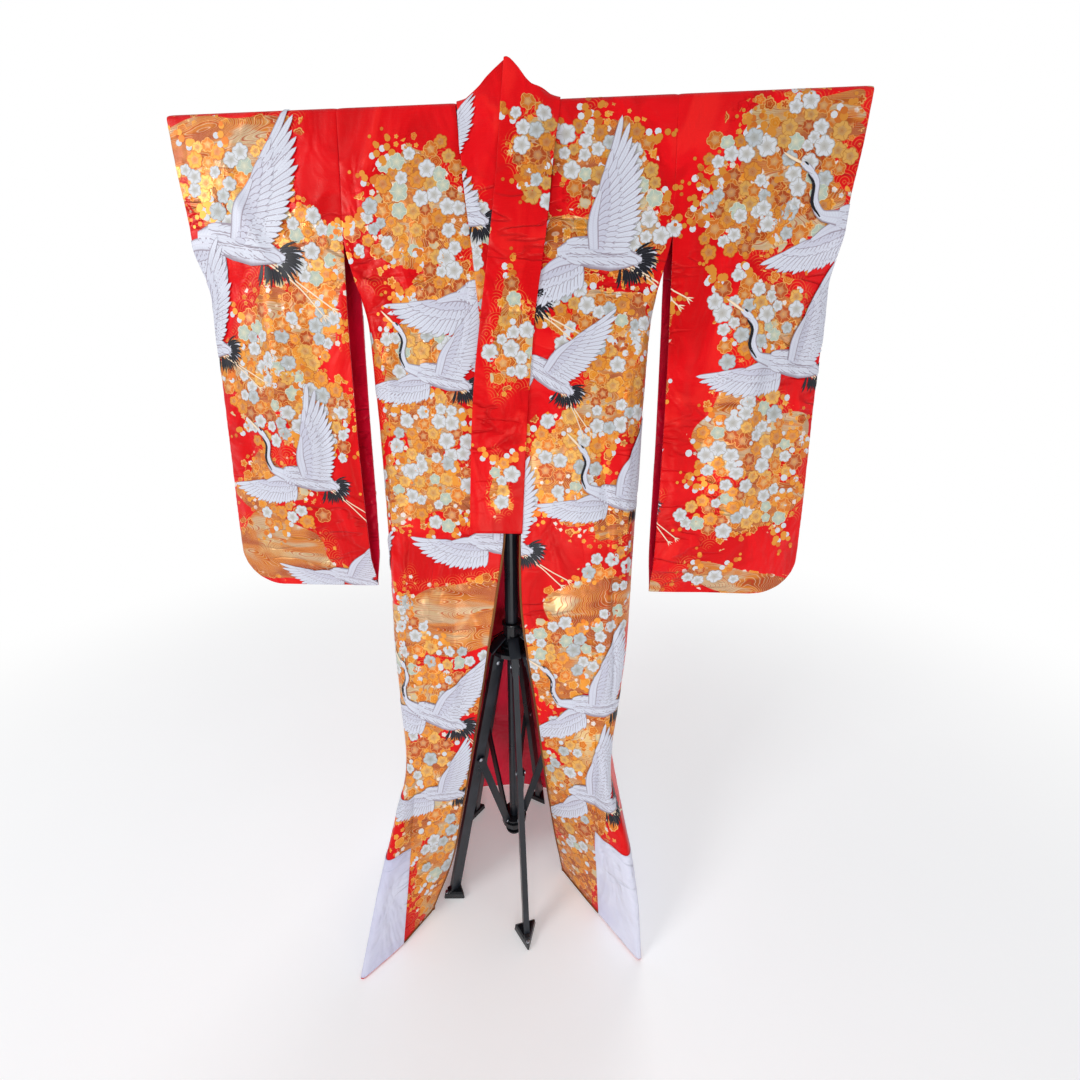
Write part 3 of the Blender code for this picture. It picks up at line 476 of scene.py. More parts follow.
# the cloth's small flat blossoms: a fine kind that strays to the edge, and a larger kind packed thick
tiny, tiny_rim, tiny_pick, tiny_stray = small_blooms(cloth_map, 72.0, 1.0)
tiny = tiny * blooming * between(gold_mark + (tiny_stray - 0.5) * 0.36 + stray * 0.9, 0.40, 0.42)
fleck = overlaid(
    rgb(0.66, 0.14, 0.012),
    (between(tiny_pick, 0.45, 0.47), rgb(0.80, 0.30, 0.03)),
    (between(tiny_pick, 0.74, 0.76), rgb(0.74, 0.72, 0.74)),
    (tiny_rim * 0.6, rgb(0.86, 0.48, 0.13)),
)
full, full_rim, full_pick, full_stray = small_blooms(cloth_map, 36.0, 2.6)
full = full * blooming * between(gold_mark + (full_stray - 0.5) * 0.60 - stray * 0.9, 0.42, 0.44)
petal = overlaid(
    rgb(0.52, 0.075, 0.010),
    (between(full_pick, 0.30, 0.34), rgb(0.68, 0.16, 0.014)),
    (between(full_pick, 0.62, 0.66), rgb(0.78, 0.27, 0.025)),
    (between(full_pick, 0.88, 0.90), rgb(0.58, 0.50, 0.34)),
    (full_rim * 0.75, rgb(0.86, 0.50, 0.15)),
)
gilded = biggest(full_rim, tiny_rim, in_gold)
woven = weft * 0.4 + biggest(full, tiny) + (water + full_rim) * 0.35
feed(shader, {
    "Base Color": overlaid(red, (in_gold, gold), (tiny, fleck), (full, petal)),
    "Metallic": gilded * near_gold * between(glint, 0.46, 0.68, 0.10, 0.50),
    "Roughness": between(gilded, 0.0, 1.0, 0.33, 0.37),
    "Normal": silk_relief(hand, woven, 0.35, 0.0006, 0.42),
})


def plain_silk(name, colour, deeper, roughness, sheen):
    """Plain satin: a shade that drifts, fine weft streaks, and nothing woven in."""
    finish, tree, shader = new_finish(name, Sheen_Weight=sheen, Sheen_Roughness=0.4, Specular_IOR_Level=0.28)
    hand = node(tree, "Group", {"Place": node(tree, "UVMap", uv_map="cloth")[0]}, node_tree=silk_hand)
    drift, weft = hand["Drift"], hand["Weft"]
    feed(shader, {
        "Base Color": overlaid(
            colour, (between(drift, 0.35, 0.65), deeper), (between(weft, 0.4, 0.8, 0.0, 0.3), deeper)
        ),
        "Roughness": between(drift, 0.3, 0.7, roughness - 0.05, roughness + 0.05),
        "Normal": silk_relief(hand, weft, 0.2, 0.0004, 0.55),
    })
    return finish


lining_silk = plain_silk("lining", rgb(0.88, 0.006, 0.048), rgb(0.70, 0.004, 0.036), 0.40, 0.15)
white_silk = plain_silk("white_silk", rgb(0.72, 0.73, 0.85), rgb(0.58, 0.58, 0.76), 0.36, 0.10)
gold_silk = plain_silk("gold_silk", rgb(0.34, 0.12, 0.022), rgb(0.24, 0.07, 0.012), 0.42, 0.05)

# ---- Back and fronts ------------------------------------------------------------------------------
# Two loom widths joined down the centre back, each folded over the shoulder into a front. A tapered
# overlap strip is sewn to each front's edge. They hang from the bar and flare to a trailing hem.
SIDES = ((-1, "left"), (1, "right"))
BAR_Z, BAR_RADIUS = 1.834, 0.0125
CLOTH, BAND, SKIN = 0.0016, 0.0030, 0.0012  # walls of the silk, of the collar, and of linings and covers
GAP = 0.0003  # between two pieces that lie on each other
FOLD_RADIUS = BAR_RADIUS + 0.0015 + CLOTH / 2
FOLD_ANGLES = [math.radians(angle) for angle in (90, 79, 68, 57, 46, 35, 24, 12)]
BODY_HALF = 0.335
SIDE_SEAM_TOP = 1.430
HEM_Z, OKUMI_HEM_Z = 0.0015, 0.0064
OKUMI_TOP = 1.600
NECK_HALF, NECK_DROP, NECK_BULGE, NECK_TURN = 0.100, 0.042, 0.018, 0.022
NAPE_LOW, NAPE_HIGH = 1.60, 1.76  # the back swells out over the collar's fold between these heights
STEP = 0.0062  # the cloth's grid, across and down
SAME = 1e-9  # lengths below this are taken as nothing
FOLD_FADE = 0.25  # a long fold dies out over this height at both its ends
RIPPLE, FINE_RIPPLE = 0.00045, 0.00022
SEAM_DRAW, SEAM_PUCKER, SEAM_REACH = 0.0006, 0.0005, 0.0035


def pattern(keys, rows):
    """A pattern table written in tenths of a millimetre, as one array of metres for each named column."""
    return dict(zip(keys.split(), np.array(rows).T / 10000))


# Level sections through the hung robe from the bar to the floor, then what each side adds to them.
SECTIONS = pattern("at back_y corner_y", (
    (18340, 153, 153), (17000, 300, 240), (16000, 420, 300), (14700, 560, 400), (12900, 700, 550),
    (11000, 850, 680), (9900, 950, 760), (8200, 1120, 880), (6900, 1250, 980), (5300, 1430, 1080),
    (3800, 1620, 1200), (2700, 1760, 1280), (1400, 1960, 1560), (0, 2085, 1700),
))
SIDE_KEYS = "corner_x ridge_x ridge_y seam_x seam_y edge_x edge_y"
SIDE_SECTIONS = {
    1: SECTIONS | pattern(SIDE_KEYS, (
        (3350, 3350, -153, 1040, -153, 1000, -153), (3350, 3350, -240, 950, -300, 910, -300),
        (3350, 3350, -300, 860, -380, 820, -380), (3080, 3080, -350, 920, -520, 650, -520),
        (3000, 3000, -360, 1160, -590, 500, -590), (2980, 2980, -370, 1480, -620, 400, -630),
        (2960, 2950, -400, 1660, -630, 330, -640), (2920, 2930, -480, 1880, -640, 330, -620),
        (2880, 2860, -600, 2000, -680, 460, -620), (2760, 2640, -850, 2080, -820, 680, -640),
        (2640, 2440, -1250, 2110, -970, 860, -620), (2760, 2840, -1640, 2120, -1080, 1000, -590),
        (2820, 3080, -1900, 2180, -1160, 1180, -520), (2820, 3180, -2080, 2280, -1230, 1400, -360),
    )),
    -1: SECTIONS | pattern(SIDE_KEYS, (
        (3350, 3350, -153, 940, -153, 880, -153), (3350, 3350, -240, 810, -270, 770, -270),
        (3350, 3350, -300, 710, -330, 670, -330), (3080, 3060, -350, 790, -430, 530, -430),
        (3000, 3000, -360, 1110, -490, 410, -490), (2990, 2990, -370, 1450, -520, 230, -520),
        (2990, 2990, -400, 1610, -560, 90, -550), (2980, 3000, -480, 1850, -640, 310, -600),
        (2920, 2950, -600, 2010, -730, 520, -660), (2800, 2760, -850, 2160, -900, 760, -780),
        (2700, 2560, -1240, 2260, -1110, 1010, -920), (2780, 2760, -1680, 2330, -1320, 1200, -1030),
        (2850, 3020, -2120, 2390, -1640, 1460, -1180), (2860, 3200, -2720, 2450, -2030, 1970, -1400),
    )),
}
ROUNDINGS = pattern("at back front", (
    (18340, 300, 300), (13000, 500, 500), (8200, 700, 600), (3800, 750, 450), (1400, 750, 300),
    (0, 750, 180),
))
Fold = namedtuple("Fold", "place width depth top bottom")
FOLDS = {
    "back": (
        Fold(0.20, 0.07, 0.007, 1.60, 0.20), Fold(0.52, 0.09, -0.009, 1.50, 0.00), Fold(0.78, 0.06, 0.006, 1.30, 0.35),
    ),
    "front": (Fold(0.50, 0.06, 0.004, 1.55, 0.75), Fold(0.74, 0.05, -0.005, 1.30, 0.45)),
    "okumi": (Fold(0.50, 0.20, 0.003, 1.20, 0.30),),
}

# A hung panel: rows of points, how far across the cloth's map each lies, the map height of each row,
# each column's share of the width, and the way that the panel faces.
Hung = namedtuple("Hung", "spots across up shares outward")


def smooth(low, high, value):
    t = np.clip((value - low) / (high - low), 0.0, 1.0)
    return t * t * (3 - 2 * t)


def curve(table, key, where):
    """A smooth curve through one column of a pattern table, at one height or many."""
    first, values = table["at"], table[key]
    if first[0] > first[-1]:
        first, values = first[::-1], values[::-1]
    where = np.clip(where, first[0], first[-1])
    i = np.clip(np.searchsorted(first, where, side="left") - 1, 0, len(first) - 2)
    each = np.arange(len(first))
    before, after = np.maximum(each - 1, 0), np.minimum(each + 1, len(first) - 1)
    slope = (values[after] - values[before]) / (first[after] - first[before])
    span = first[i + 1] - first[i]
    t = (where - first[i]) / span
    ends = values[i] * (2 * t**3 - 3 * t**2 + 1) + values[i + 1] * (3 * t**2 - 2 * t**3)
    return ends + slope[i] * span * (t**3 - 2 * t**2 + t) + slope[i + 1] * span * (t**3 - t**2)


def rounded(start, corner, end, reach):
    """A line in plan from start to end round a corner cut back by reach on both its sides."""
    first, last = start - corner, end - corner
    before = corner + first * min(reach / max(np.hypot(*first), SAME), 0.92)
    after = corner + last * min(reach / max(np.hypot(*last), SAME), 0.92)
    t = np.linspace(0, 1, 19)[:, None]
    turn = before * (1 - t) ** 2 + corner * 2 * t * (1 - t) + after * t * t
    quarters = np.arange(5)[:, None] / 4
    return np.vstack([start + (before - start) * quarters[:4], turn, after + (end - after) * quarters[1:]])


def fold_depth(folds, u, z):
    """How far long soft folds push the cloth out at a share of the panel's width and a height."""
    depth = 0.0
    for fold in folds:
        fade = smooth(fold.top, fold.top - FOLD_FADE, z) * smooth(fold.bottom - 0.02, fold.bottom + FOLD_FADE, z)
        depth = depth + fold.depth * fade / (1 + ((u - fold.place) / fold.width) ** 2) ** 2
    return depth


def neck_bulge(x, z):
    """How far the collar's fold pushes the back out behind the neck."""
    return NECK_BULGE * np.maximum(1 - (x / (NECK_HALF + 0.005)) ** 2, 0.0) ** 2 * smooth(NAPE_LOW, NAPE_HIGH, z)


def column_shares(width):
    """Even columns, with a few close to each seam."""
    even = np.linspace(0, 1, max(round(width / STEP), 8) + 1)
    close = np.array((0.0012, 0.0030)) / width
    return np.unique(np.round(np.concatenate([even, close, 1 - close]), 6))


def body_line(side, panel, z, shares):
    """One level line of a body panel: its points in plan and how far along the cloth each one is."""
    table = SIDE_SECTIONS[side]
    seam, edge, corner, ridge = (
        np.array((side * float(curve(table, name + "_x", z)), float(curve(table, name + "_y", z))))
        for name in ("seam", "edge", "corner", "ridge")
    )
    if panel == "okumi":
        path = np.vstack([seam, edge])
    else:
        to_middle = float(smooth(SIDE_SEAM_TOP + 0.09, SIDE_SEAM_TOP, z))
        middle, bend = (corner + ridge) / 2, float(curve(ROUNDINGS, panel, z))
        if panel == "back":
            centre = np.array((0.0, float(curve(table, "back_y", z))))
            path = rounded(centre, corner, corner + (middle - corner) * to_middle, bend)
        else:
            path = rounded(ridge + (middle - ridge) * to_middle, ridge, seam, bend)
    steps = np.diff(path, axis=0)
    long = np.hypot(steps[:, 0], steps[:, 1])
    keep = long > SAME
    path, steps, long = path[np.concatenate([[True], keep])], steps[keep], long[keep]
    turn = np.abs(np.diff(np.unwrap(np.arctan2(steps[:, 1], steps[:, 0]))))
    length = np.concatenate([[0], np.cumsum(long)])
    weight = np.concatenate([[0], np.cumsum(long + 0.05 * np.append(turn, 0.0))])  # corners count as longer
    s = shares * length[-1]
    w = np.interp(s, length, weight)
    near = 0.02 * weight[-1]

    def on_path(marks, along):
        return np.column_stack([np.interp(along, marks, line) for line in path.T])

    run = on_path(weight, np.minimum(w + near, weight[-1])) - on_path(weight, np.maximum(w - near, 0))
    out = np.column_stack([run[:, 1], -run[:, 0]]) / np.maximum(np.hypot(run[:, 0], run[:, 1]), SAME)[:, None] * -side
    u = w / weight[-1]
    depth = fold_depth(FOLDS[panel], u, z) * smooth(0.0, 0.12, u) * smooth(1.0, 0.88, u)
    here = on_path(length, s) + out * depth[:, None]
    if panel == "back":
        here[:, 1] += neck_bulge(here[:, 0], z)
        return here, side * s
    return here, side * (abs(seam[0]) - s if panel == "okumi" else abs(seam[0]) + length[-1] - s)


def fold_rows(top, face):
    """Rows of cloth on the shoulder fold, above the line where it leaves the bar, and their map heights."""
    for angle in FOLD_ANGLES:
        y = top[:, 1] - face * FOLD_RADIUS * (1 - math.cos(angle))
        z = np.full(len(top), BAR_Z + FOLD_RADIUS * math.sin(angle))
        yield np.column_stack([top[:, 0], y, z]), BAR_Z + FOLD_RADIUS * angle


def body_grid(side, panel, high, low, width):
    """A body panel as it hangs, row by row from its fold or upper edge to the hem."""
    shares = column_shares(width)
    top, top_across = body_line(side, panel, BAR_Z, shares)
    rows = [(row, top_across, up) for row, up in fold_rows(top, 1 if panel == "back" else -1) if high == BAR_Z]
    for z in np.linspace(high, low, max(round((high - low) / STEP), 2) + 1):
        here, across = body_line(side, panel, z, shares)
        rows.append((np.column_stack([here, np.full(len(shares), z)]), across, z))
    outward = (0, 1, 0) if panel == "back" else (side, -0.5, 0.0)
    return Hung(*(np.array(column) for column in zip(*rows)), shares, outward)


def neck_top(x):
    """The cut edge of the neck, a shallow bow below the bar."""
    return BAR_Z - NECK_DROP * np.sqrt(np.maximum(1 - (np.abs(x) / NECK_HALF) ** 2, 0.0))


def lowered_neck(hung):
    """Drops the back's upper edge below the bar behind the neck, and runs the shoulder fold out beside it."""
    spots = hung.spots.copy()
    flat_rows = np.flatnonzero(hung.up <= BAR_Z + SAME)
    heights = hung.up[flat_rows]
    fold_top = BAR_Z + FOLD_RADIUS
    for column in range(spots.shape[1]):
        line = hung.spots[flat_rows, column]
        x = line[0, 0]
        for row, up in enumerate(hung.up):
            angle = (up - BAR_Z) / FOLD_RADIUS
            if abs(x) <= NECK_HALF:
                level = BAR_Z + FOLD_RADIUS * math.sin(angle) if angle > 0 else up
                level -= (fold_top - float(neck_top(x))) * float(smooth(NAPE_LOW, fold_top, level))
                spots[row, column, :2] = [np.interp(-level, -heights, line[:, axis]) for axis in (0, 1)]
                spots[row, column, 2] = level
            elif angle > 0:
                angle *= float(smooth(NECK_HALF - 0.004, NECK_HALF + NECK_TURN, abs(x)))
                spots[row, column, 1] = line[0, 1] - FOLD_RADIUS * (1 - math.cos(angle))
                spots[row, column, 2] = BAR_Z + FOLD_RADIUS * math.sin(angle)
    return hung._replace(spots=spots)


def normals_of(hung):
    """The outward direction at each point of a hung panel."""
    normal = np.cross(np.gradient(hung.spots, axis=0), np.gradient(hung.spots, axis=1))
    normal /= np.maximum(np.linalg.norm(normal, axis=2), 1e-12)[:, :, None]
    return normal if (normal @ np.array(hung.outward)).sum() > 0 else -normal


# Soft creases pressed into the hung silk: from one end to the other, half width and rise.
Crease = namedtuple("Crease", "across up to_across to_up width rise")
FRONT_CREASES = in_metres(Crease, 6, (
    (-320, 1560, -180, 1380, 10, 3.3), (-322, 1520, -200, 1300, 9, -3), (-315, 1600, -140, 1480, 10, 2.7),
    (-300, 1470, -230, 1250, 9, 3), (320, 1560, 190, 1400, 10, 3), (318, 1510, 210, 1300, 9, -2.7),
    (300, 1450, 240, 1230, 10, 3), (-260, 1150, -230, 700, 14, 4.5), (-180, 1000, -210, 500, 16, -4.2),
    (-120, 950, -140, 420, 15, 3.9), (250, 1100, 220, 620, 14, 4.2), (170, 1020, 180, 480, 15, -3.9),
    (100, 900, 130, 380, 14, 3.6), (-320, 960, -130, 780, 13, 2.4), (300, 920, 60, 760, 13, 2.4),
    (-600, 1780, -480, 1500, 22, 3.6), (-640, 1500, -600, 1050, 18, -3.9),
    (-520, 1620, -500, 1000, 24, 4.5), (-430, 1560, -420, 950, 20, -3.9), (-370, 1450, -365, 980, 14, 2.4),
    (600, 1780, 490, 1520, 22, 3.6), (630, 1540, 600, 1050, 20, -3.9), (530, 1620, 510, 1000, 24, 4.2),
    (440, 1600, 430, 940, 20, -3.9), (375, 1400, 370, 960, 14, 2.4), (-350, 1720, -430, 1600, 12, 2.4),
    (350, 1730, 440, 1600, 12, 2.4), (-350, 1790, -500, 1740, 12, 2.1), (350, 1790, 520, 1730, 12, 2.1),
    (-290, 330, -180, 120, 16, 3.3), (280, 330, 190, 140, 16, 3),
))
BACK_CREASES = in_metres(Crease, 6, (
    (-320, 1560, -160, 1400, 12, 3.6), (320, 1560, 160, 1380, 12, 3.6), (-300, 1480, -180, 1250, 12, -3.3),
    (300, 1480, 190, 1230, 12, -3.3), (-100, 1700, -140, 900, 20, 4.5), (90, 1680, 130, 850, 20, 4.5),
    (-240, 1100, -260, 400, 22, 6), (240, 1060, 270, 420, 22, 6), (-500, 1650, -520, 1000, 24, 4.5),
    (500, 1650, 520, 1000, 24, 4.5), (-420, 1550, -420, 950, 20, -3.9), (420, 1550, 430, 960, 20, -3.9),
    (-610, 1560, -600, 1040, 18, 3.3), (610, 1560, 600, 1040, 18, 3.3),
))


def crease_depth(creases, across, up):
    """How far pressed creases and slight ripples lift the cloth, dying out towards the bar."""
    depth = np.zeros(np.shape(across))
    for crease in creases:
        run_across, run_up = crease.to_across - crease.across, crease.to_up - crease.up
        length = math.hypot(run_across, run_up)
        x, y = across - crease.across, up - crease.up
        along = (x * run_across + y * run_up) / length**2
        beside = (x * run_up - y * run_across) / length / crease.width
        fade = smooth(-0.05, 0.35, along) * smooth(1.05, 0.65, along)
        depth += crease.rise * fade * (1 - 0.7 * beside**2) * np.exp(-(beside**2))
    ripple = np.sin(across * 41 + 2.1 * np.sin(up * 5.3)) + np.sin(across * 23 - up * 9 + 1.3)
    ripple = ripple + np.sin(up * 17 + across * 11)
    fine = np.sin(across * 97 + up * 31) * np.sin(up * 71 - across * 53 + 2.0)
    return (depth + RIPPLE * ripple + FINE_RIPPLE * fine) * smooth(BAR_Z - 0.01, BAR_Z - 0.16, up)


def creased(hung, creases):
    """The hung cloth with its creases, and a slight pucker drawn in along both long seams."""
    across, up = hung.across, np.broadcast_to(hung.up[:, None], hung.across.shape)
    width = np.abs(across[:, -1] - across[:, 0])[:, None]
    from_seam = np.minimum(hung.shares, 1 - hung.shares)[None, :] * width
    pucker = np.sin(up * 260 + 3 * np.sin(up * 37)) * 0.5 + 0.5
    drawn_in = (SEAM_DRAW + SEAM_PUCKER * pucker) * np.exp(-from_seam / SEAM_REACH)
    depth = crease_depth(creases, across, up) - drawn_in
    return hung._replace(spots=hung.spots + normals_of(hung) * depth[:, :, None])


def mesh_of(name, bm):
    mesh = bpy.data.meshes.new(name)
    bm.to_mesh(mesh)
    bm.free()
    return mesh


def read(items, key, count, kind=np.float32):
    values = np.empty(len(items) * count, kind)
    items.foreach_get(key, values)
    return values.reshape(-1, count) if count > 1 else values


def write(items, key, values):
    items.foreach_set(key, values.astype(np.float32).ravel())


def laid(mesh, spots, outward):
    """Moves a flat mesh's points to their places in the robe, and turns its faces outward."""
    write(mesh.vertices, "co", spots + np.array((0.0, POLE_Y, 0.0)))
    mesh.update()
    if (read(mesh.polygons, "normal", 3) @ np.array(outward)).sum() < 0:
        mesh.flip_normals()
    mesh.shade_smooth()


def sheet_piece(name, hung, thickness, outer, inner, clouds=(), out=0.0, region=0.0):
    """A woven sheet: a flat grid carried point by point to its place in the hung cloth, given its wall.
    A region sets a kind of panel apart on the cloth's map, so that no two kinds show the same weave."""
    rows, columns = hung.across.shape
    bm = bmesh.new()
    bmesh.ops.create_grid(bm, x_segments=columns - 1, y_segments=rows - 1, size=0.5)
    mesh = mesh_of(name, bm)
    flat = read(mesh.vertices, "co", 3)
    column = np.rint((flat[:, 0] + 0.5) * (columns - 1)).astype(int)
    row = np.rint((0.5 - flat[:, 1]) * (rows - 1)).astype(int)
    laid(mesh, (hung.spots + normals_of(hung) * out)[row, column], hung.outward)
    up = np.broadcast_to(hung.up[:, None], hung.across.shape)
    corner = read(mesh.loops, "vertex_index", 1, np.int32)
    cloth_map = mesh.uv_layers.new(name="cloth")
    write(cloth_map.data, "uv", np.column_stack([(hung.across + region)[row, column], up[row, column]])[corner])
    for mark, marked in (("gold", clouds), ("water", [cloud for cloud in clouds if cloud.water])):
        values = mesh.attributes.new(mark, "FLOAT", "POINT").data
        write(values, "value", cloud_cover(marked, hung.across, up)[row, column])
    mesh.materials.append(outer)
    mesh.materials.append(inner)
    obj = new_object(name, mesh)
    wall = obj.modifiers.new("wall", "SOLIDIFY")
    wall.thickness, wall.offset = thickness, 0.0
    wall.material_offset = wall.material_offset_rim = 1
    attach(obj, "root")
    return obj


hung_cloth, pieces = {}, {}
for side, word in SIDES:
    for panel, high, low, width, creases, clouds, region in (
        ("back_", BAR_Z, HEM_Z, 0.34, BACK_CREASES, BACK_GOLD, 3.0),
        ("front_", BAR_Z, HEM_Z, 0.28, FRONT_CREASES, FRONT_GOLD, 0.0),
        ("okumi_", OKUMI_TOP, OKUMI_HEM_Z, 0.10, FRONT_CREASES, FRONT_GOLD, 0.0),
    ):
        hung = body_grid(side, panel[:-1], high, low, width)
        hung = creased(lowered_neck(hung) if panel == "back_" else hung, creases)
        hung_cloth[panel + word] = hung
        piece = sheet_piece("silk_" + panel + word, hung, CLOTH, brocade, lining_silk, clouds, region=region)
        pieces[panel + word] = piece
        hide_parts(panel + word)

# ---- Lining of the back ------------------------------------------------------------------------------
# Deep red satin inside the back, seen through the opening from just above the collar's ends down.
# It lies against the figured silk and is caught to it along the seams.
LINING_TOP = 1.060
SKIN_HEM_Z = 0.0040
OUT_OF_CLOTH = CLOTH / 2 + GAP + SKIN / 2


def below(hung, high, low):
    """The rows of a hung panel between two heights, cut exactly there."""
    rows = np.flatnonzero((hung.up < high) & (hung.up > low))

    def cut(values, z):
        i = int(np.clip(np.searchsorted(-hung.up, -z) - 1, 0, len(hung.up) - 2))
        t = (hung.up[i] - z) / (hung.up[i] - hung.up[i + 1])
        return (values[i] * (1 - t) + values[i + 1] * t)[None]

    def kept(values):
        return np.concatenate([cut(values, high), values[rows], cut(values, low)])

    up = np.concatenate([[high], hung.up[rows], [low]])
    return hung._replace(spots=kept(hung.spots), across=kept(hung.across), up=up)


for side, word in SIDES:
    part = below(hung_cloth["back_" + word], LINING_TOP, SKIN_HEM_Z)
    lining = sheet_piece("lining_back_" + word, part, SKIN, lining_silk, lining_silk, out=-OUT_OF_CLOTH, region=6.0)
    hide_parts("back_lining_" + word)

# ---- Hem covers --------------------------------------------------------------------------------------
# Plain white silk basted round the hem outside the overlap strips, a hand's span high, which keeps
# the trailing silk clean.
HEM_COVER_TOPS = {1: 0.240, -1: 0.210}
HEM_COVER_SLANT = 0.20  # the back's upper edge runs from one height to the other within this of the middle


def cover_top(across):
    """The white silk's upper edge: level on each front, and slanting across the back from one to the other."""
    left, right = HEM_COVER_TOPS[-1], HEM_COVER_TOPS[1]
    return left + (right - left) * smooth(-HEM_COVER_SLANT, HEM_COVER_SLANT, across)


def covered(hung):
    """The lowest part of a hung panel, its rows spread evenly from the hem to the slanting upper edge."""
    part = below(hung, max(HEM_COVER_TOPS.values()), SKIN_HEM_Z)
    shares = (part.up - SKIN_HEM_Z) / (part.up[0] - SKIN_HEM_Z)
    spots, across = np.empty_like(part.spots), np.empty_like(part.across)
    for column in range(len(part.shares)):
        heights = SKIN_HEM_Z + shares * (cover_top(part.across[0, column]) - SKIN_HEM_Z)
        across[:, column] = np.interp(-heights, -part.up, part.across[:, column])
        for axis in range(3):
            spots[:, column, axis] = np.interp(-heights, -part.up, part.spots[:, column, axis])
    return part._replace(spots=spots, across=across)


for side, word in SIDES:
    for panel, wide in (("back_", 0.36), ("front_", 0.31)):
        name, part = "hem_cover_" + panel + word, covered(hung_cloth[panel + word])
        cover = sheet_piece(name + "_silk", part, SKIN, white_silk, white_silk, out=OUT_OF_CLOTH, region=9.0)
        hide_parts(name)
        "silk_" + panel + word

# ---- Padded edge -------------------------------------------------------------------------------------
# A thin roll of gold silk over a cotton core, turned out along the opening and the hem of the overlap
# strips.
FUKI_RADIUS = 0.0025
FUKI_OFF = FUKI_RADIUS + GAP  # the roll's middle from the cloth's edge
FUKI_HEM_Z = OKUMI_HEM_Z - FUKI_OFF - 0.0002
COLLAR_END_Z = 0.985
for side, word in SIDES:
    hung = hung_cloth["okumi_" + word]
    rows = np.flatnonzero(hung.up < COLLAR_END_Z - 0.004)[::3]
    edge = hung.spots[rows, -1]
    off = edge - hung.spots[rows, -4]
    off[:, 2] = 0.0
    route = list(edge + off / np.linalg.norm(off, axis=1)[:, None] * FUKI_OFF)
    route.append(np.array((*route[-1][:2], FUKI_HEM_Z)))
    hem = hung.spots[-1, hung.spots.shape[1] - 2:0:-2]
    route += [np.array((x, y, FUKI_HEM_Z)) for x, y, _ in hem]
    roll = bpy.data.curves.new("fuki", "CURVE")
    roll.dimensions, roll.bevel_depth, roll.bevel_resolution, roll.use_fill_caps = "3D", FUKI_RADIUS, 3, True
    spline = roll.splines.new("POLY")
    spline.points.add(len(route) - 1)
    for point, (x, y, z) in zip(spline.points, route):
        point.co = (x, y + POLE_Y, z, 1.0)
    tube = bpy.data.objects.new("fuki", roll)
    mesh = bpy.data.meshes.new_from_object(tube)
    bpy.data.objects.remove(tube)
    mesh.uv_layers[0].name = "cloth"
    mesh.materials.clear()
    mesh.materials.append(gold_silk)
    edge_roll = new_object("padded_edge_" + word, mesh)
    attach(edge_roll, "root")
    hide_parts("fuki_" + word)

# ---- Sleeves ---------------------------------------------------------------------------------------
# Deep bags of the same silk, folded over the shoulder line, sewn to the body above and left open at
# the inner side below. The outer bottom corner is rounded.
SLEEVE_BOTTOM, SLEEVE_CORNER = 0.822, 0.095
SLEEVE_WIDTH = 0.335
SLEEVE_SEAM_END, SLEEVE_FOLD_SHUT, SLEEVE_SWUNG = 1.600, 1.50, 1.10
SLEEVE_SHUT = CLOTH / 2 + GAP / 2 + 0.0002  # each layer from the sleeve's middle where the bag is sewn
SLEEVE_SWING = 0.004
SLEEVE_LINING_TOP, SLEEVE_LINING_END, SLEEVE_LINING_SHARE = 1.599, 0.8715, 0.376
SLEEVES = pattern("at outer_x inner_x half_depth", (
    (18340, 6900, 3350, 153), (17400, 6790, 3350, 225), (16400, 6650, 3350, 280), (15300, 6610, 3365, 325),
    (14000, 6660, 3390, 335), (12000, 6690, 3405, 325), (10000, 6740, 3390, 280), (9000, 6750, 3380, 220),
    (8220, 6750, 3370, 12),
))
SLEEVE_FOLDS = (
    Fold(0.22, 0.10, 0.006, 1.50, 0.90), Fold(0.50, 0.12, -0.007, 1.62, 0.88), Fold(0.78, 0.09, 0.005, 1.45, 0.95),
)


def sleeve_line(side, face, z, u):
    """One level line of a sleeve's layer, from the body side at share 0 to the outer fold at 1."""
    inner, outer, half_depth = (float(curve(SLEEVES, key, z)) for key in ("inner_x", "outer_x", "half_depth"))
    rise = SLEEVE_BOTTOM + SLEEVE_CORNER - z
    if rise > 0:
        outer += math.sqrt(max(SLEEVE_CORNER**2 - rise**2, 0.0)) - SLEEVE_CORNER
    sewn = float(smooth(SLEEVE_SEAM_END, SLEEVE_FOLD_SHUT, z)) * u**4
    corner = max(rise, 0.0) / SLEEVE_CORNER
    depth = SLEEVE_SHUT + (max(half_depth, SLEEVE_SHUT) - SLEEVE_SHUT) * (1 - sewn) * (1 - corner**3)
    sway = fold_depth(SLEEVE_FOLDS, u, z) * (1 - corner**2)
    lift = SLEEVE_SWING * float(smooth(SLEEVE_FOLD_SHUT, SLEEVE_SWUNG, z)) * side * u
    x = side * (inner + (outer - inner) * u)
    return np.column_stack([x, face * depth + sway + lift, np.full(len(u), z)])


def sleeve_grid(side, face):
    shares = column_shares(SLEEVE_WIDTH)
    corner_top = SLEEVE_BOTTOM + SLEEVE_CORNER
    straight = np.linspace(BAR_Z, corner_top, round((BAR_Z - corner_top) / STEP))[:-1]
    round_corner = corner_top - SLEEVE_CORNER * np.sin(np.radians(np.linspace(0, 80, 21)))
    rows = list(fold_rows(sleeve_line(side, face, BAR_Z, shares), face))
    for z in np.concatenate([straight, round_corner, [SLEEVE_BOTTOM]]):
        rows.append((sleeve_line(side, face, z, shares), z))
    spots, up = (np.array(column) for column in zip(*rows))
    return Hung(spots, spots[:, :, 0].copy(), up, shares, (0, face, 0))


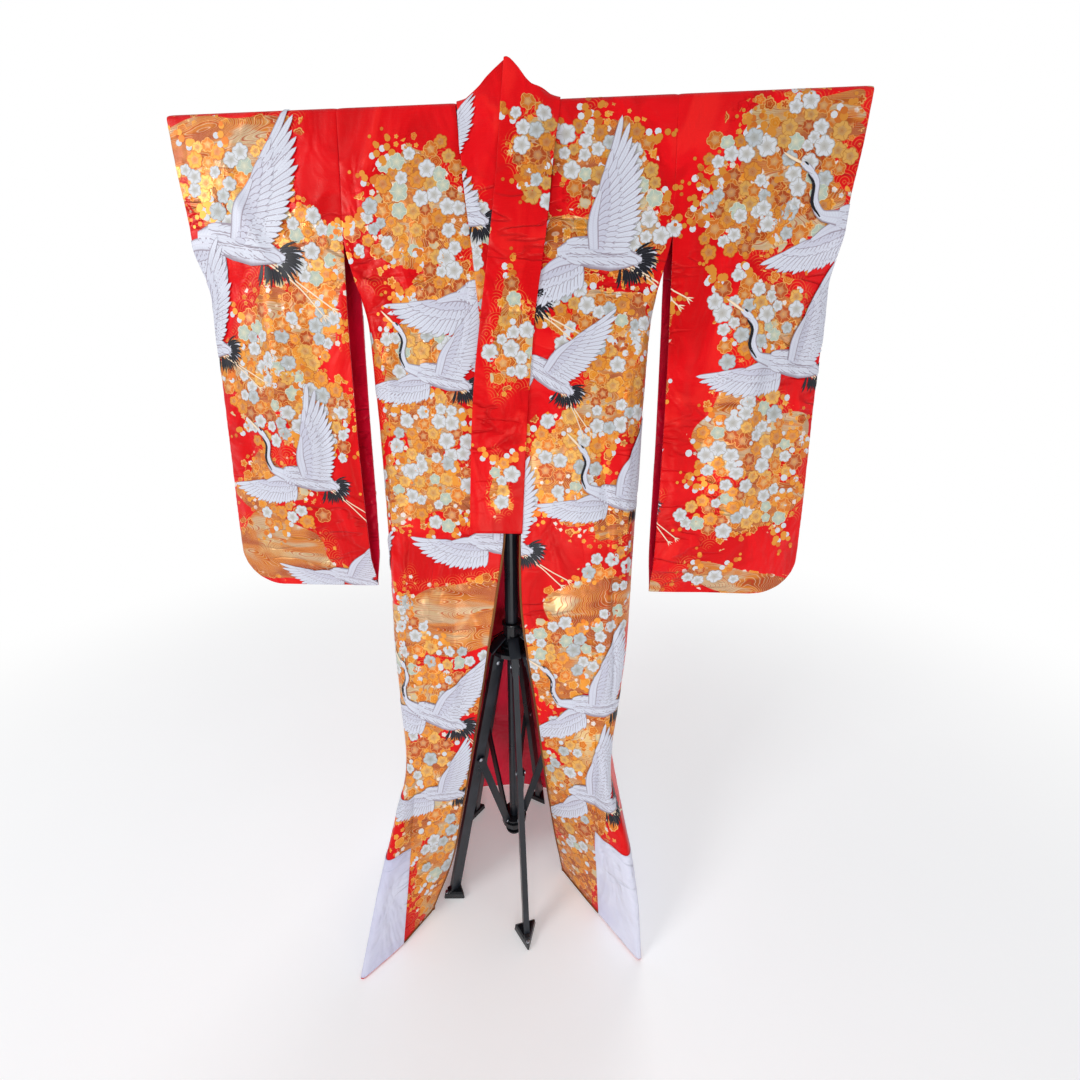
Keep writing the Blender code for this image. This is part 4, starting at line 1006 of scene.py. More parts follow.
for side, word in SIDES:
    for face, layer, clouds, creases, region in (
        (-1, "front", FRONT_GOLD, FRONT_CREASES, 0.0), (1, "back", BACK_GOLD, BACK_CREASES, 3.0),
    ):
        name = f"sleeve_{layer}_{word}"
        hung_cloth[name] = creased(sleeve_grid(side, face), creases)
        pieces[name] = sheet_piece("silk_" + name, hung_cloth[name], CLOTH, brocade, lining_silk, clouds, region=region)
        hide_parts(name)
    hung = hung_cloth["sleeve_back_" + word]
    inner = hung.shares <= SLEEVE_LINING_SHARE
    strip = hung._replace(spots=hung.spots[:, inner], across=hung.across[:, inner], shares=hung.shares[inner])
    strip = below(strip, SLEEVE_LINING_TOP, SLEEVE_LINING_END)
    lining = sheet_piece("lining_sleeve_" + word, strip, SKIN, lining_silk, lining_silk, out=-OUT_OF_CLOTH, region=6.0)
    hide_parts("sleeve_lining_" + word)

# ---- Collar ------------------------------------------------------------------------------------------
# A band of the same silk folded double, a hand wide, sewn to the neck and fronts and cut off square
# at mid height. The right band lies over the left, and the pole's end tents it behind the neck.
POLE_TOP = 1.886
BANDS = {
    1: pattern("at sewn_x free_x y", (
        (19260, 1120, 50, -250), (18250, 1090, -40, -310), (17250, 970, -120, -390),
        (16000, 850, -260, -480), (14400, 630, -480, -580), (13100, 520, -640, -620),
        (11900, 450, -730, -650), (9850, 350, -820, -680),
    )),
    -1: pattern("at sewn_x free_x y", (
        (19260, -1020, 110, -205), (18250, -900, 230, -255), (17250, -820, 300, -320),
        (16000, -680, 400, -380), (14400, -520, 560, -470), (13100, -440, 640, -520),
        (11900, -340, 740, -550), (9850, -100, 980, -580),
    )),
}
ROOF = pattern("at z", (
    (-1140, 18515), (-960, 18515), (-700, 18545), (-480, 18615), (-320, 18775), (-100, 18955), (80, 19060),
    (280, 18900), (450, 18690), (580, 18580), (800, 18545), (960, 18515), (1220, 18515),
))
COLLAR_CREASES = in_metres(Crease, 6, (
    (-20, 1700, 80, 1740, 7, 3), (-20, 1670, 90, 1690, 8, -2.6), (-35, 1525, 75, 1580, 6, 3.4),
    (-40, 1500, 70, 1545, 6, -3), (-50, 1340, 50, 1400, 8, 2.6), (40, 1230, -70, 1180, 9, 2.8),
    (-75, 1060, 30, 1110, 8, -2.6), (-120, 1450, 130, 1450, 4.5, -2.8), (-85, 1720, -20, 1690, 7, 2.8),
    (40, 1640, 50, 1250, 10, 1.8),
))
BAND_RADIUS = FOLD_RADIUS + CLOTH / 2 + GAP + BAND / 2 + 0.0004
BAND_TURN = math.radians(80)
ON_BACK = CLOTH / 2 + GAP + BAND / 2 + 0.0006
BACK_COLLAR_LEFT, BACK_COLLAR_RIGHT, BACK_COLLAR_LAP, BACK_COLLAR_TOP_Y = -0.1080, 0.1160, 0.012, 0.0225
BAND_WIDTH, TURN_ROWS, BAND_ROWS = 0.11, 15, 138  # rows over the bar, and down from it
BACK_COLLAR_COLUMNS, BACK_COLLAR_ROWS = 41, 17
LEFT_LOWER = 0.0008  # the left band's upper edge below the right one's, which laps over it


def over_bar(z):
    """How far the turned collar stands from the bar's axis at a height."""
    return np.sqrt(BAND_RADIUS**2 - np.clip(z - BAR_Z, 0.0, BAND_RADIUS * math.sin(BAND_TURN)) ** 2)


def collar_line(side, s, z):
    """A row of a front band, from its sewn edge at share 0 to its free edge at 1."""
    sewn, free, flat = (curve(BANDS[side], key, z) for key in ("sewn_x", "free_x", "y"))
    near_bar = smooth(1.76, BAR_Z, z) * smooth(0.45, 0.0, s)
    x = sewn + (free - sewn) * s
    return np.column_stack([x, flat + (-over_bar(z) - flat) * near_bar, np.broadcast_to(z, x.shape)])


def roof(x):
    """The collar's upper edge, tented over the pole's end."""
    return curve(ROOF, "z", x)


def risen(share):
    """How far up to its upper edge the turned collar has come; the first row lies on that edge."""
    return math.sin(BAND_TURN * (1 - share)) / math.sin(BAND_TURN)


for side, word in SIDES:
    shares = column_shares(BAND_WIDTH)
    spots = []
    for share in np.linspace(0, 1, TURN_ROWS + 1)[:-1]:
        top = np.full(len(shares), BAR_Z + 0.03)
        for _ in range(5):
            top = roof(collar_line(side, shares, top)[:, 0]) - (0.0 if side > 0 else LEFT_LOWER)
        spots.append(collar_line(side, shares, BAR_Z + (top - BAR_Z) * risen(share)))
    hanging = np.linspace(BAR_Z, COLLAR_END_Z, BAND_ROWS)
    spots = np.array(spots + [collar_line(side, shares, np.full(len(shares), z)) for z in hanging])
    up = np.concatenate([BAR_Z + np.linspace(0.045, 0.003, TURN_ROWS), hanging])
    band = Hung(spots, spots[:, :, 0].copy(), up, shares, (0, -1, 0))
    hung_cloth["collar_" + word] = creased(band, COLLAR_CREASES)

shares = np.linspace(0, 1, BACK_COLLAR_COLUMNS)
x = BACK_COLLAR_LEFT + (BACK_COLLAR_RIGHT - BACK_COLLAR_LEFT) * shares
bottom = neck_top(x) - BACK_COLLAR_LAP
ends = np.maximum(smooth(0.20, 0.04, shares), smooth(0.80, 0.96, shares))
spots, rows = [], []
for share in np.linspace(0, 1, BACK_COLLAR_ROWS):
    z = bottom + (roof(x) - bottom) * risen(share)
    on = np.minimum(z, BAR_Z)
    middle, corner = curve(SECTIONS, "back_y", on), curve(SECTIONS, "corner_y", on)
    nape = middle + (corner - middle) * np.abs(x) / BODY_HALF + neck_bulge(x, on) + ON_BACK
    leaning = nape + (BACK_COLLAR_TOP_Y - nape) * smooth(BAR_Z, POLE_TOP, z)
    spots.append(np.column_stack([x, leaning + (over_bar(z) - leaning) * np.where(z > BAR_Z, ends, 0.0), z]))
    rows.append(1.90 - 0.10 * share)
spots = np.array(spots)
hung_cloth["collar_back"] = Hung(spots, spots[:, :, 0].copy(), np.array(rows), shares, (0, 1, 0))
for name, clouds, region in (
    ("collar_left", COLLAR_GOLD, 12.0), ("collar_right", COLLAR_GOLD, 12.3), ("collar_back", (), 12.6),
):
    pieces[name] = sheet_piece("silk_" + name, hung_cloth[name], BAND, brocade, brocade, clouds, region=region)
    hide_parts(name)

# ---- Woven figures -----------------------------------------------------------------------------------
# Cranes with outlined feathers and black tail plumes, and sprays of five-petalled blossoms and buds,
# float-stitched in white, black and gold thread so that they stand a hair above the satin.
WHITE, BLACK, BLOOM, CREAM = range(4)  # slots of the threads
WHITE_DYE, GREY_DYE, GREEN_DYE, GOLD_DYES = 0.05, 0.33, 0.45, (0.55, 0.7, 0.88, 0.96)
BUD_RADIUS = 0.0085  # blossoms smaller than this are plain round buds
SPRAY_SIZES = [0.0190, 0.0172, 0.0156, 0.0142, 0.0126] * 14 + [0.0110] * 30
CROWDING, LARGE_SHARE, TOUCHING, TRIES = 1.45, 0.60, 0.72, 14  # how blossoms are packed
# Heights above the satin, and the step up from one overlapping feather or bud to the next.
BLOSSOM_LIFT, SPRIG_LIFT, TAIL_LIFT, PLUME_LIFT, LEG_LIFT = 0.00024, 0.00030, 0.00036, 0.00052, 0.00062
SPREAD_WING_LIFT, BODY_LIFT, NECK_LIFT, RAISED_WING_LIFT = 0.00066, 0.00156, 0.00190, 0.00206
LAYER, PLUME_LAYER, BODY_LAYER = 0.00002, 0.00001, 0.000012

# A crane's place, size and turn, the headings of its raised and its spread wing, and 1 if its neck shows.
Bird = namedtuple("Bird", "across up size turn raised spread neck", defaults=(0,))
# An oval of blossoms: its place and half sizes, how crowded it is, and its turn.
Spray = namedtuple("Spray", "across up half_width half_height crowd turn", defaults=(0,))
FRONT_BIRDS = in_metres(Bird, 2, (
    (-560, 1590, 1.42, -6, 66, 200), (-705, 1400, 1.15, 0, 60, 190, 1), (-468, 1095, 1.05, -4, 84, 196, 1),
    (-400, 842, 0.95, -8, 50, 182), (-140, 1320, 0.98, -6, 62, 200, 1), (-20, 1480, 1.25, 4, 60, 186),
    (-20, 955, 1.1, 0, 70, 184), (-175, 525, 1.05, -12, 58, 194, 1), (-165, 325, 0.8, 2, 60, 186),
    (185, 1555, 1.25, 4, 72, 206), (85, 1325, 0.95, -24, 62, 200), (250, 1060, 1, -8, 74, 200, 1),
    (205, 560, 1.05, 8, 62, 212, 1), (205, 330, 0.95, 14, 64, 216), (700, 1610, 1.1, 6, 70, 204, 1),
    (598, 1345, 1.05, 2, 66, 192, 1),
))
FRONT_SPRAYS = in_metres(Spray, 4, (
    (-560, 1720, 110, 80, 46), (-415, 1560, 60, 105, 36, 8), (-480, 1400, 100, 70, 42, -10),
    (-530, 1270, 110, 80, 46), (-400, 1220, 50, 70, 16), (-520, 1010, 80, 30, 12),
    (-170, 1655, 120, 105, 66), (-120, 1480, 80, 70, 30), (-200, 1380, 85, 60, 26),
    (-180, 1200, 110, 75, 42), (-190, 1080, 110, 70, 38), (-240, 700, 60, 90, 26), (-110, 640, 70, 60, 20),
    (-230, 420, 100, 70, 32), (-150, 200, 80, 80, 24), (180, 1740, 90, 65, 34), (260, 1640, 60, 80, 24),
    (190, 1430, 110, 60, 36), (250, 1290, 70, 90, 30), (120, 1150, 70, 100, 30), (240, 900, 50, 40, 10),
    (130, 690, 100, 70, 36), (250, 760, 40, 50, 12), (120, 420, 60, 90, 24), (180, 200, 70, 80, 22),
    (540, 1700, 120, 105, 74), (460, 1620, 80, 60, 30, 20), (500, 1440, 85, 70, 34),
    (535, 1190, 110, 80, 46), (520, 1050, 110, 65, 42, 18), (470, 870, 50, 20, 8),
))
BACK_BIRDS = in_metres(Bird, 2, (
    (-180, 1480, 1.45, 0, 70, 196, 1), (170, 1560, 1.2, 6, 66, 200), (80, 1180, 1.5, -8, 72, 196, 1),
    (-190, 930, 1.2, 4, 66, 196, 1), (200, 840, 1.2, -4, 64, 192, 1), (0, 560, 1.4, 0, 70, 200, 1),
    (-220, 330, 1.1, 4, 62, 192), (230, 330, 1.1, -6, 66, 196, 1), (-520, 1600, 1.25, 0, 68, 196, 1),
    (-500, 1200, 1.2, 4, 66, 196), (520, 1520, 1.25, 0, 68, 196, 1), (500, 1130, 1.15, -6, 70, 196, 1),
))
BACK_SPRAYS = in_metres(Spray, 4, (
    (-550, 1760, 110, 60, 36), (-440, 1430, 80, 80, 34), (-570, 1350, 80, 90, 36), (-450, 1030, 90, 80, 38),
    (-570, 930, 80, 70, 26), (560, 1730, 110, 70, 42), (440, 1420, 80, 80, 34), (570, 1300, 80, 90, 36),
    (440, 990, 80, 80, 32), (570, 930, 80, 70, 26), (-150, 1680, 120, 70, 42), (120, 1700, 120, 60, 38),
    (10, 1380, 130, 70, 42), (-230, 1270, 80, 90, 36), (230, 1330, 80, 70, 30), (0, 1020, 120, 70, 40),
    (-240, 780, 90, 70, 32), (230, 680, 90, 70, 32), (10, 760, 110, 60, 32), (-210, 520, 90, 70, 30),
    (210, 500, 90, 70, 30), (0, 320, 140, 80, 44), (-220, 140, 110, 70, 30), (220, 130, 110, 70, 30),
))
COLLAR_RIGHT_SPRAYS = in_metres(Spray, 4, (
    (60, 1770, 42, 55, 20), (75, 1680, 18, 35, 7), (20, 1470, 16, 40, 7), (18, 1370, 45, 50, 12),
    (-8, 1110, 18, 50, 9),
))
COLLAR_LEFT_SPRAYS = in_metres(Spray, 4, (
    (-55, 1610, 22, 60, 12), (-40, 1470, 20, 40, 7),
))
COLLAR_LEFT_BIRDS = in_metres(Bird, 2, (
    (-148, 1725, 0.8, -14, 66, 210), (-100, 1640, 1, -6, 150, 210),
))


def figure_map(tree):
    """The three values that every drawn figure carries at its points."""
    split = parts(node(tree, "Attribute", attribute_name="figure")["Vector"])
    return split[0], split[1], split[2]


# A feather's map runs from -1 to 1 across it and from 0 to 1 along it; the third value is its share of painted shade.
feather_silk, tree, shader = new_finish(
    "feather_thread", Sheen_Weight=0.05, Sheen_Roughness=0.35, Specular_IOR_Level=0.4
)
aside, along, painted_shade = figure_map(tree)
beside = abs(aside)
rim, shaft = between(beside, 0.66, 0.96), between(beside, 0.16, 0.03, 0.0, 0.35)
barbs = maths("SINE", along * 150.0 + beside * -9.0)
# The lilac grey laid over the white, by each feather's share, is painted shade.
feed(shader, {
    "Base Color": overlaid(
        rgb(0.66, 0.69, 0.78),
        (painted_shade, rgb(0.47, 0.46, 0.59)),
        (biggest(shaft, between(barbs, 0.2, 0.9, 0.0, 0.16)), rgb(0.42, 0.38, 0.48)),
        (rim * 0.80, rgb(0.22, 0.15, 0.20)),
    ),
    "Roughness": between(beside, 0.0, 1.0, 0.38, 0.52),
    "Normal": bump(barbs * 0.3 - rim, 0.3, 0.0004),
})

plume_silk, tree, shader = new_finish(
    "plume_thread", Sheen_Weight=0.05, Sheen_Roughness=0.3, Specular_IOR_Level=0.3
)
beside = abs(figure_map(tree)[0])
feed(shader, {
    "Base Color": overlaid(rgb(0.006, 0.006, 0.010), (between(beside, 0.5, 1.0), rgb(0.030, 0.030, 0.045))),
    "Roughness": between(beside, 0.0, 1.0, 0.34, 0.55),
})

shank_silk, tree, shader = new_finish("shank_thread", Roughness=0.45, Sheen_Weight=0.1)
edge = between(abs(figure_map(tree)[0]), 0.4, 1.0)
feed(shader, {"Base Color": overlaid(rgb(0.88, 0.72, 0.52), (edge, rgb(0.62, 0.40, 0.26)))})

# Blossom thread: a blossom's map is its own centre at 0 and its rim at 1; the third value picks the dye.
blossom_silk, tree, shader = new_finish("blossom_thread", Sheen_Weight=0.1, Specular_IOR_Level=0.4)
x, y, dye = figure_map(tree)
out = maths("SQRT", x * x + y * y)
round_it = maths("ARCTAN2", y, x) / (2 * math.pi)
DYES = (  # from each value on: the petals' dye and the outline thread
    (0.00, rgb(0.63, 0.65, 0.69), rgb(0.36, 0.33, 0.28)), (0.30, rgb(0.48, 0.52, 0.55), rgb(0.28, 0.27, 0.24)),
    (0.42, rgb(0.42, 0.50, 0.42), rgb(0.74, 0.70, 0.50)), (0.52, rgb(0.50, 0.075, 0.010), rgb(0.84, 0.42, 0.12)),
    (0.68, rgb(0.72, 0.18, 0.014), rgb(0.90, 0.52, 0.16)), (0.84, rgb(0.80, 0.30, 0.03), rgb(0.54, 0.11, 0.012)),
    (0.94, rgb(0.82, 0.44, 0.10), rgb(0.54, 0.16, 0.02)),
)


def dyed(column):
    """The colour that a blossom's own dye value picks from one column of the dyes."""
    picked = node(dye, "ValToRGB", {0: dye})[0]
    ramp = picked.socket.node.color_ramp
    ramp.interpolation = "CONSTANT"
    while len(ramp.elements) < len(DYES):
        ramp.elements.new(0.5)
    for element, row in zip(ramp.elements, DYES):
        element.position, element.color = row[0], row[column]
    return picked


def spokes(count, width):
    """Thin lines out from a blossom's centre."""
    off = abs(fraction(round_it * count + 0.5) - 0.5) * out
    return between(off, width, width * 0.35)


petal_gap = spokes(5.0, 0.035) * between(out, 0.30, 0.50)
stamens = spokes(20.0, 0.10) * between(out, 0.60, 0.50) * between(out, 0.10, 0.16)
lines = biggest(petal_gap, stamens, between(out, 0.88, 0.95), between(out, 0.13, 0.09))
feed(shader, {
    "Base Color": overlaid(
        dyed(1), (between(out, 0.55, 0.35, 0.0, 0.30), rgb(0.45, 0.44, 0.34)), (lines * 0.80, dyed(2))
    ),
    "Metallic": between(dye, 0.45, 0.55, 0.0, 0.45),
    "Roughness": between(out, 0.0, 1.0, 0.36, 0.46),
    "Normal": bump(maths("SUBTRACT", 1.0, lines), 0.35, 0.0004),
})


def banded(bm, columns, rows, shape, slot):
    """A strip of faces in one thread: shape gives each point's place and its map from its place in the strip."""
    figure = bm.verts.layers.float_vector["figure"]
    made = bmesh.ops.create_grid(bm, x_segments=columns, y_segments=rows, size=1.0)["verts"]
    for vert in made:
        vert.co, vert[figure] = shape(vert.co.x, (vert.co.y + 1) / 2)
    threaded(made, slot)


def threaded(made, slot):
    for face in {face for vert in made for face in vert.link_faces}:
        face.material_index = slot


def ribbon(bm, route, widths, lift, painted_shade, slot):
    """A band stitched along a curved route, its half width running through the widths."""
    route = np.array(route, float)
    rows = max(4, math.ceil(np.hypot(*np.diff(route, axis=0).T).sum() / 0.007))
    t = np.linspace(0, 1, rows + 1)
    table = {"at": np.linspace(0, 1, len(route)), "x": route[:, 0], "y": route[:, 1]}
    x, y = curve(table, "x", t), curve(table, "y", t)
    wide = np.interp(t, np.linspace(0, 1, len(widths)), widths)
    heading = np.arctan2(np.gradient(y), np.gradient(x))

    def shape(s, along):
        i = round(along * rows)
        place = (x[i] - math.sin(heading[i]) * s * wide[i], y[i] + math.cos(heading[i]) * s * wide[i], lift)
        return place, (s, t[i], painted_shade)

    banded(bm, 4, rows, shape, slot)


def feather(bm, root, heading, long, wide, lift, painted_shade, slot, bend=0.0, blunt=0.62):
    """One feather: a narrow band that widens from its root and rounds off at its tip."""

    def shape(s, t):
        tip = math.sqrt(max(1 - (max(t - blunt, 0) / (1 - blunt)) ** 2, 0.0))
        half = wide * min(0.5 + 1.4 * t, 1.0) * tip
        a, middle = heading + bend * t, heading + bend * t / 2
        x = root[0] + long * t * math.cos(middle) - math.sin(a) * s * half
        y = root[1] + long * t * math.sin(middle) + math.cos(a) * s * half
        return (x, y, lift), (s, t, painted_shade)

    banded(bm, 2, max(3, math.ceil(long / 0.0075)), shape, slot)


def wing(bm, chance, shoulder, arm, reach, tip, base, long, lift):
    """Long flight feathers fanned from an arm, two rows of coverts over them, and the arm's edge."""
    arm, tip, base = math.radians(arm), math.radians(tip), math.radians(base)
    elbow = (shoulder[0] + reach * math.cos(arm), shoulder[1] + reach * math.sin(arm))
    for count, share, wide, row_painted_shade, blunt in (
        (18, 1.0, 0.0055, 0.0, 0.62), (15, 0.56, 0.0054, 0.12, 0.55), (12, 0.30, 0.0054, 0.40, 0.55),
    ):
        for k in range(count):
            along = k / (count - 1)
            root = [elbow[i] + (shoulder[i] - elbow[i]) * along**0.9 for i in (0, 1)]
            heading = tip + (base - tip) * along**0.85
            length = long * share * (1.0 - 0.48 * along) * (1 + 0.04 * math.sin(k * 2.3))
            # each feather's painted shade: deeper on the inner rows of coverts, and a little more on some feathers than
            # others
            painted_shade = row_painted_shade + 0.12 * chance.random()
            feather(bm, root, heading, length, wide, lift, painted_shade, WHITE, bend=(tip - base) * 0.16, blunt=blunt)
            lift += LAYER
    away = arm + (math.pi / 2 if base < tip else -math.pi / 2)
    sag = [shoulder[i] * 0.5 + elbow[i] * 0.5 + 0.006 * turned(away) for i, turned in ((0, math.cos), (1, math.sin))]
    ribbon(bm, (shoulder, sag, elbow), (0.008, 0.009, 0.007, 0.003), lift, 0.25, WHITE)


def tail(bm):
    """Seven white tail feathers, and the black plumes that ring them."""
    for k in range(7):
        heading, long, lift = math.radians(-34 + 9 * k), 0.040 + 0.004 * (k % 3), TAIL_LIFT + LAYER * k
        feather(bm, (0.050, -0.006), heading, long, 0.0050, lift, 0.1, WHITE, bend=-0.2)
    for k in range(38):
        turn = math.radians(-128 + 4.9 * k + 3 * math.sin(5 * k))
        ring = 0.017 + 0.005 * (k % 3) / 2
        root = (0.050 + 1.15 * ring * math.cos(turn), -0.010 + 0.75 * ring * math.sin(turn))
        long, lift = 0.020 + 0.010 * ((k * 7) % 5) / 4, PLUME_LIFT + PLUME_LAYER * k
        feather(bm, root, turn * 0.75, long, 0.0021, lift, 0.0, BLACK, bend=-0.5, blunt=0.1)


def legs(bm):
    for low, far in ((-0.014, 0.010), (-0.019, -0.004)):
        knee, foot = (0.088, low - 0.026), (0.132 + far, low - 0.062 + far * 0.4)
        ribbon(bm, ((0.046, low), knee, foot), (0.0016, 0.0012, 0.0012), LEG_LIFT, 0.0, CREAM)
        for toe in (-62, -34, -8):
            feather(bm, foot, math.radians(toe), 0.013, 0.0011, LEG_LIFT + LAYER, 0.0, CREAM, blunt=0.3)


def neck_and_head(bm):
    nape = ((-0.050, 0.011), (-0.078, 0.020), (-0.088, 0.046), (-0.084, 0.076), (-0.098, 0.096))
    ribbon(bm, nape, (0.013, 0.0085, 0.0060, 0.0050, 0.0050), NECK_LIFT, 0.1, WHITE)
    throat = ((-0.080, 0.016), (-0.0925, 0.040), (-0.0890, 0.070), (-0.0985, 0.087))
    ribbon(bm, throat, (0.0010, 0.0028, 0.0026, 0.0012), NECK_LIFT + 0.00004, 0.0, BLACK)
    crown = ((-0.090, 0.090), (-0.100, 0.098), (-0.110, 0.106))
    ribbon(bm, crown, (0.0040, 0.0068, 0.0036), NECK_LIFT + 0.00007, 0.0, WHITE)
    bill, eye = math.radians(142), math.radians(138)
    feather(bm, (-0.106, 0.103), bill, 0.042, 0.0030, NECK_LIFT + 0.00009, 0.0, CREAM, blunt=0.0)
    feather(bm, (-0.098, 0.1015), eye, 0.0095, 0.0018, NECK_LIFT + 0.00012, 0.0, BLACK, blunt=0.4)


def crane(bm, chance, bird):
    """A flying crane, drawn head to the left about its own middle, then turned and sized into place."""
    start = len(bm.verts)
    tail(bm)
    legs(bm)
    wing(bm, chance, (-0.026, 0.000), bird.spread - 8, 0.070, bird.spread, 272, 0.094, SPREAD_WING_LIFT)
    body = ((-0.062, 0.010), (-0.030, 0.010), (0.010, 0.003), (0.045, -0.006), (0.072, -0.010))
    ribbon(bm, body, (0.006, 0.020, 0.025, 0.024, 0.014, 0.003), BODY_LIFT, 0.18, WHITE)
    for k in range(22):
        x, row = -0.046 + 0.012 * (k // 3) + 0.004 * (k % 2), k % 3 - 1
        root, heading = (x, 0.008 - 0.11 * x * 0.6 + row * 0.0125), math.radians(-6 + 10 * row)
        # The body's feathers carry a little painted shade, more on some than others.
        painted_shade, lift = 0.05 + 0.1 * chance.random(), BODY_LIFT + 0.00004 + BODY_LAYER * k
        feather(bm, root, heading, 0.026, 0.0066, lift, painted_shade, WHITE, blunt=0.5)
    if bird.neck:
        neck_and_head(bm)
    wing(bm, chance, (-0.004, 0.010), bird.raised + 8, 0.086, bird.raised - 8, -10, 0.112, RAISED_WING_LIFT)
    bm.verts.ensure_lookup_table()
    c, s = math.cos(math.radians(bird.turn)) * bird.size, math.sin(math.radians(bird.turn)) * bird.size
    for vert in bm.verts[start:]:
        x, y, lift = vert.co
        vert.co = (bird.across + x * c - y * s, bird.up + x * s + y * c, lift)


def blossom(bm, across, up, radius, turn, lift, dye):
    """Five round petals. A small one is a plain round bud."""
    bud = radius < BUD_RADIUS
    figure = bm.verts.layers.float_vector["figure"]
    everything = bmesh.ops.create_circle(bm, cap_ends=True, segments=8 if bud else 20, radius=1.0)["verts"]
    face = everything[0].link_faces[0]
    if not bud:
        bmesh.ops.inset_individual(bm, faces=[face], thickness=0.5)
        everything += list(face.verts)
    everything += bmesh.ops.poke(bm, faces=[face])["verts"]
    for vert in everything:
        x, y = vert.co.x, vert.co.y
        share, angle = math.hypot(x, y), math.atan2(y, x)
        petal = 1.0 if bud else 0.80 + 0.20 * math.sqrt(abs(math.cos(2.5 * angle)))
        r, a = share * petal * radius, angle + turn
        vert.co = (across + r * math.cos(a), up + r * math.sin(a), lift)
        vert[figure] = (0.58 + 0.08 * x, 0.42 + 0.08 * y, dye) if bud else (x, y, dye)
    threaded(everything, BLOOM)


def sprig(bm, chance, across, up, heading, lift):
    """A twig end of buds that shrink towards its tip, with a white one beside the first and the third."""
    heading += chance.uniform(-0.4, 0.4)
    for k, radius in enumerate((0.0084, 0.0080, 0.0072, 0.0062, 0.0050, 0.0036)):
        step = 0.011 * k
        x = across + step * math.cos(heading) + 0.004 * math.sin(k * 2.2)
        y = up + step * math.sin(heading) + 0.004 * math.cos(k * 2.2)
        blossom(bm, x, y, radius, 0.0, lift + LAYER * k, chance.choice((0.85, 0.70, 0.85)))
        if k in (0, 2):
            x, y = x - 0.010 * math.sin(heading), y + 0.010 * math.cos(heading)
            blossom(bm, x, y, 0.0066, 0.0, lift + LAYER / 2, WHITE_DYE)


def uneven(spray, angle, start):
    """A spray's outline at an angle, as a share of its oval's."""
    return start + 0.22 * math.sin(3 * angle + 40 * spray.up) + 0.14 * math.sin(5 * angle + 60 * spray.across)


def petal_dye(chance, pick):
    for share, dye in ((0.30, WHITE_DYE), (0.38, GREY_DYE), (0.46, GREEN_DYE)):
        if pick < share:
            return dye
    return chance.choice(GOLD_DYES)


def crowd(bm, chance, spray):
    """Packs blossoms of all sizes into an oval, big ones first, with sprigs straying from its edge."""
    taken = []
    turn = math.radians(spray.turn)
    wanted = round(spray.crowd * CROWDING)
    for _ in range(wanted * TRIES):
        if len(taken) >= wanted:
            break
        if len(taken) < wanted * LARGE_SHARE:
            radius = SPRAY_SIZES[min(len(taken), len(SPRAY_SIZES) - 1)] * chance.uniform(0.88, 1.08)
        else:
            radius = chance.uniform(0.0046, 0.0084)
        share = math.sqrt(chance.random()) * (1.0 if radius > 0.009 else 1.22)
        angle = chance.uniform(0, 2 * math.pi)
        share *= uneven(spray, angle, 1.0)
        x, y = share * math.cos(angle) * spray.half_width, share * math.sin(angle) * spray.half_height
        across = spray.across + x * math.cos(turn) - y * math.sin(turn)
        up = spray.up + x * math.sin(turn) + y * math.cos(turn)
        if any(math.hypot(across - x, up - y) < TOUCHING * (radius + other) for x, y, other in taken):
            continue
        taken.append((across, up, radius))
        pick = chance.random()
        dye = petal_dye(chance, pick)
        if radius < BUD_RADIUS:
            dye = WHITE_DYE if pick < 0.55 else chance.choice(GOLD_DYES[1:3])
        lift = BLOSSOM_LIFT + 0.00012 * chance.random() + (0.00010 if dye < 0.4 else 0.0)
        blossom(bm, across, up, radius, chance.uniform(0, 6.3), lift, dye)
    for _ in range(max(2, spray.crowd // 6)):
        angle = chance.uniform(0, 2 * math.pi)
        edge = uneven(spray, angle, 1.02)
        across = spray.across + edge * spray.half_width * math.cos(angle)
        sprig(bm, chance, across, spray.up + edge * spray.half_height * math.sin(angle), angle, SPRIG_LIFT)


def drawn_flat(name, birds, sprays, seed):
    """All the figures of one face of the robe, drawn flat: across, up, and height above the satin."""
    sheet = bmesh.new()
    sheet.verts.layers.float_vector.new("figure")
    chance = random.Random(seed)
    for draw, figure in [(crowd, spray) for spray in sprays] + [(crane, bird) for bird in birds]:
        bm = bmesh.new()
        bm.verts.layers.float_vector.new("figure")
        draw(bm, chance, figure)
        one = mesh_of("figure", bm)
        sheet.from_mesh(one)
        bpy.data.meshes.remove(one)
    return mesh_of(name, sheet)


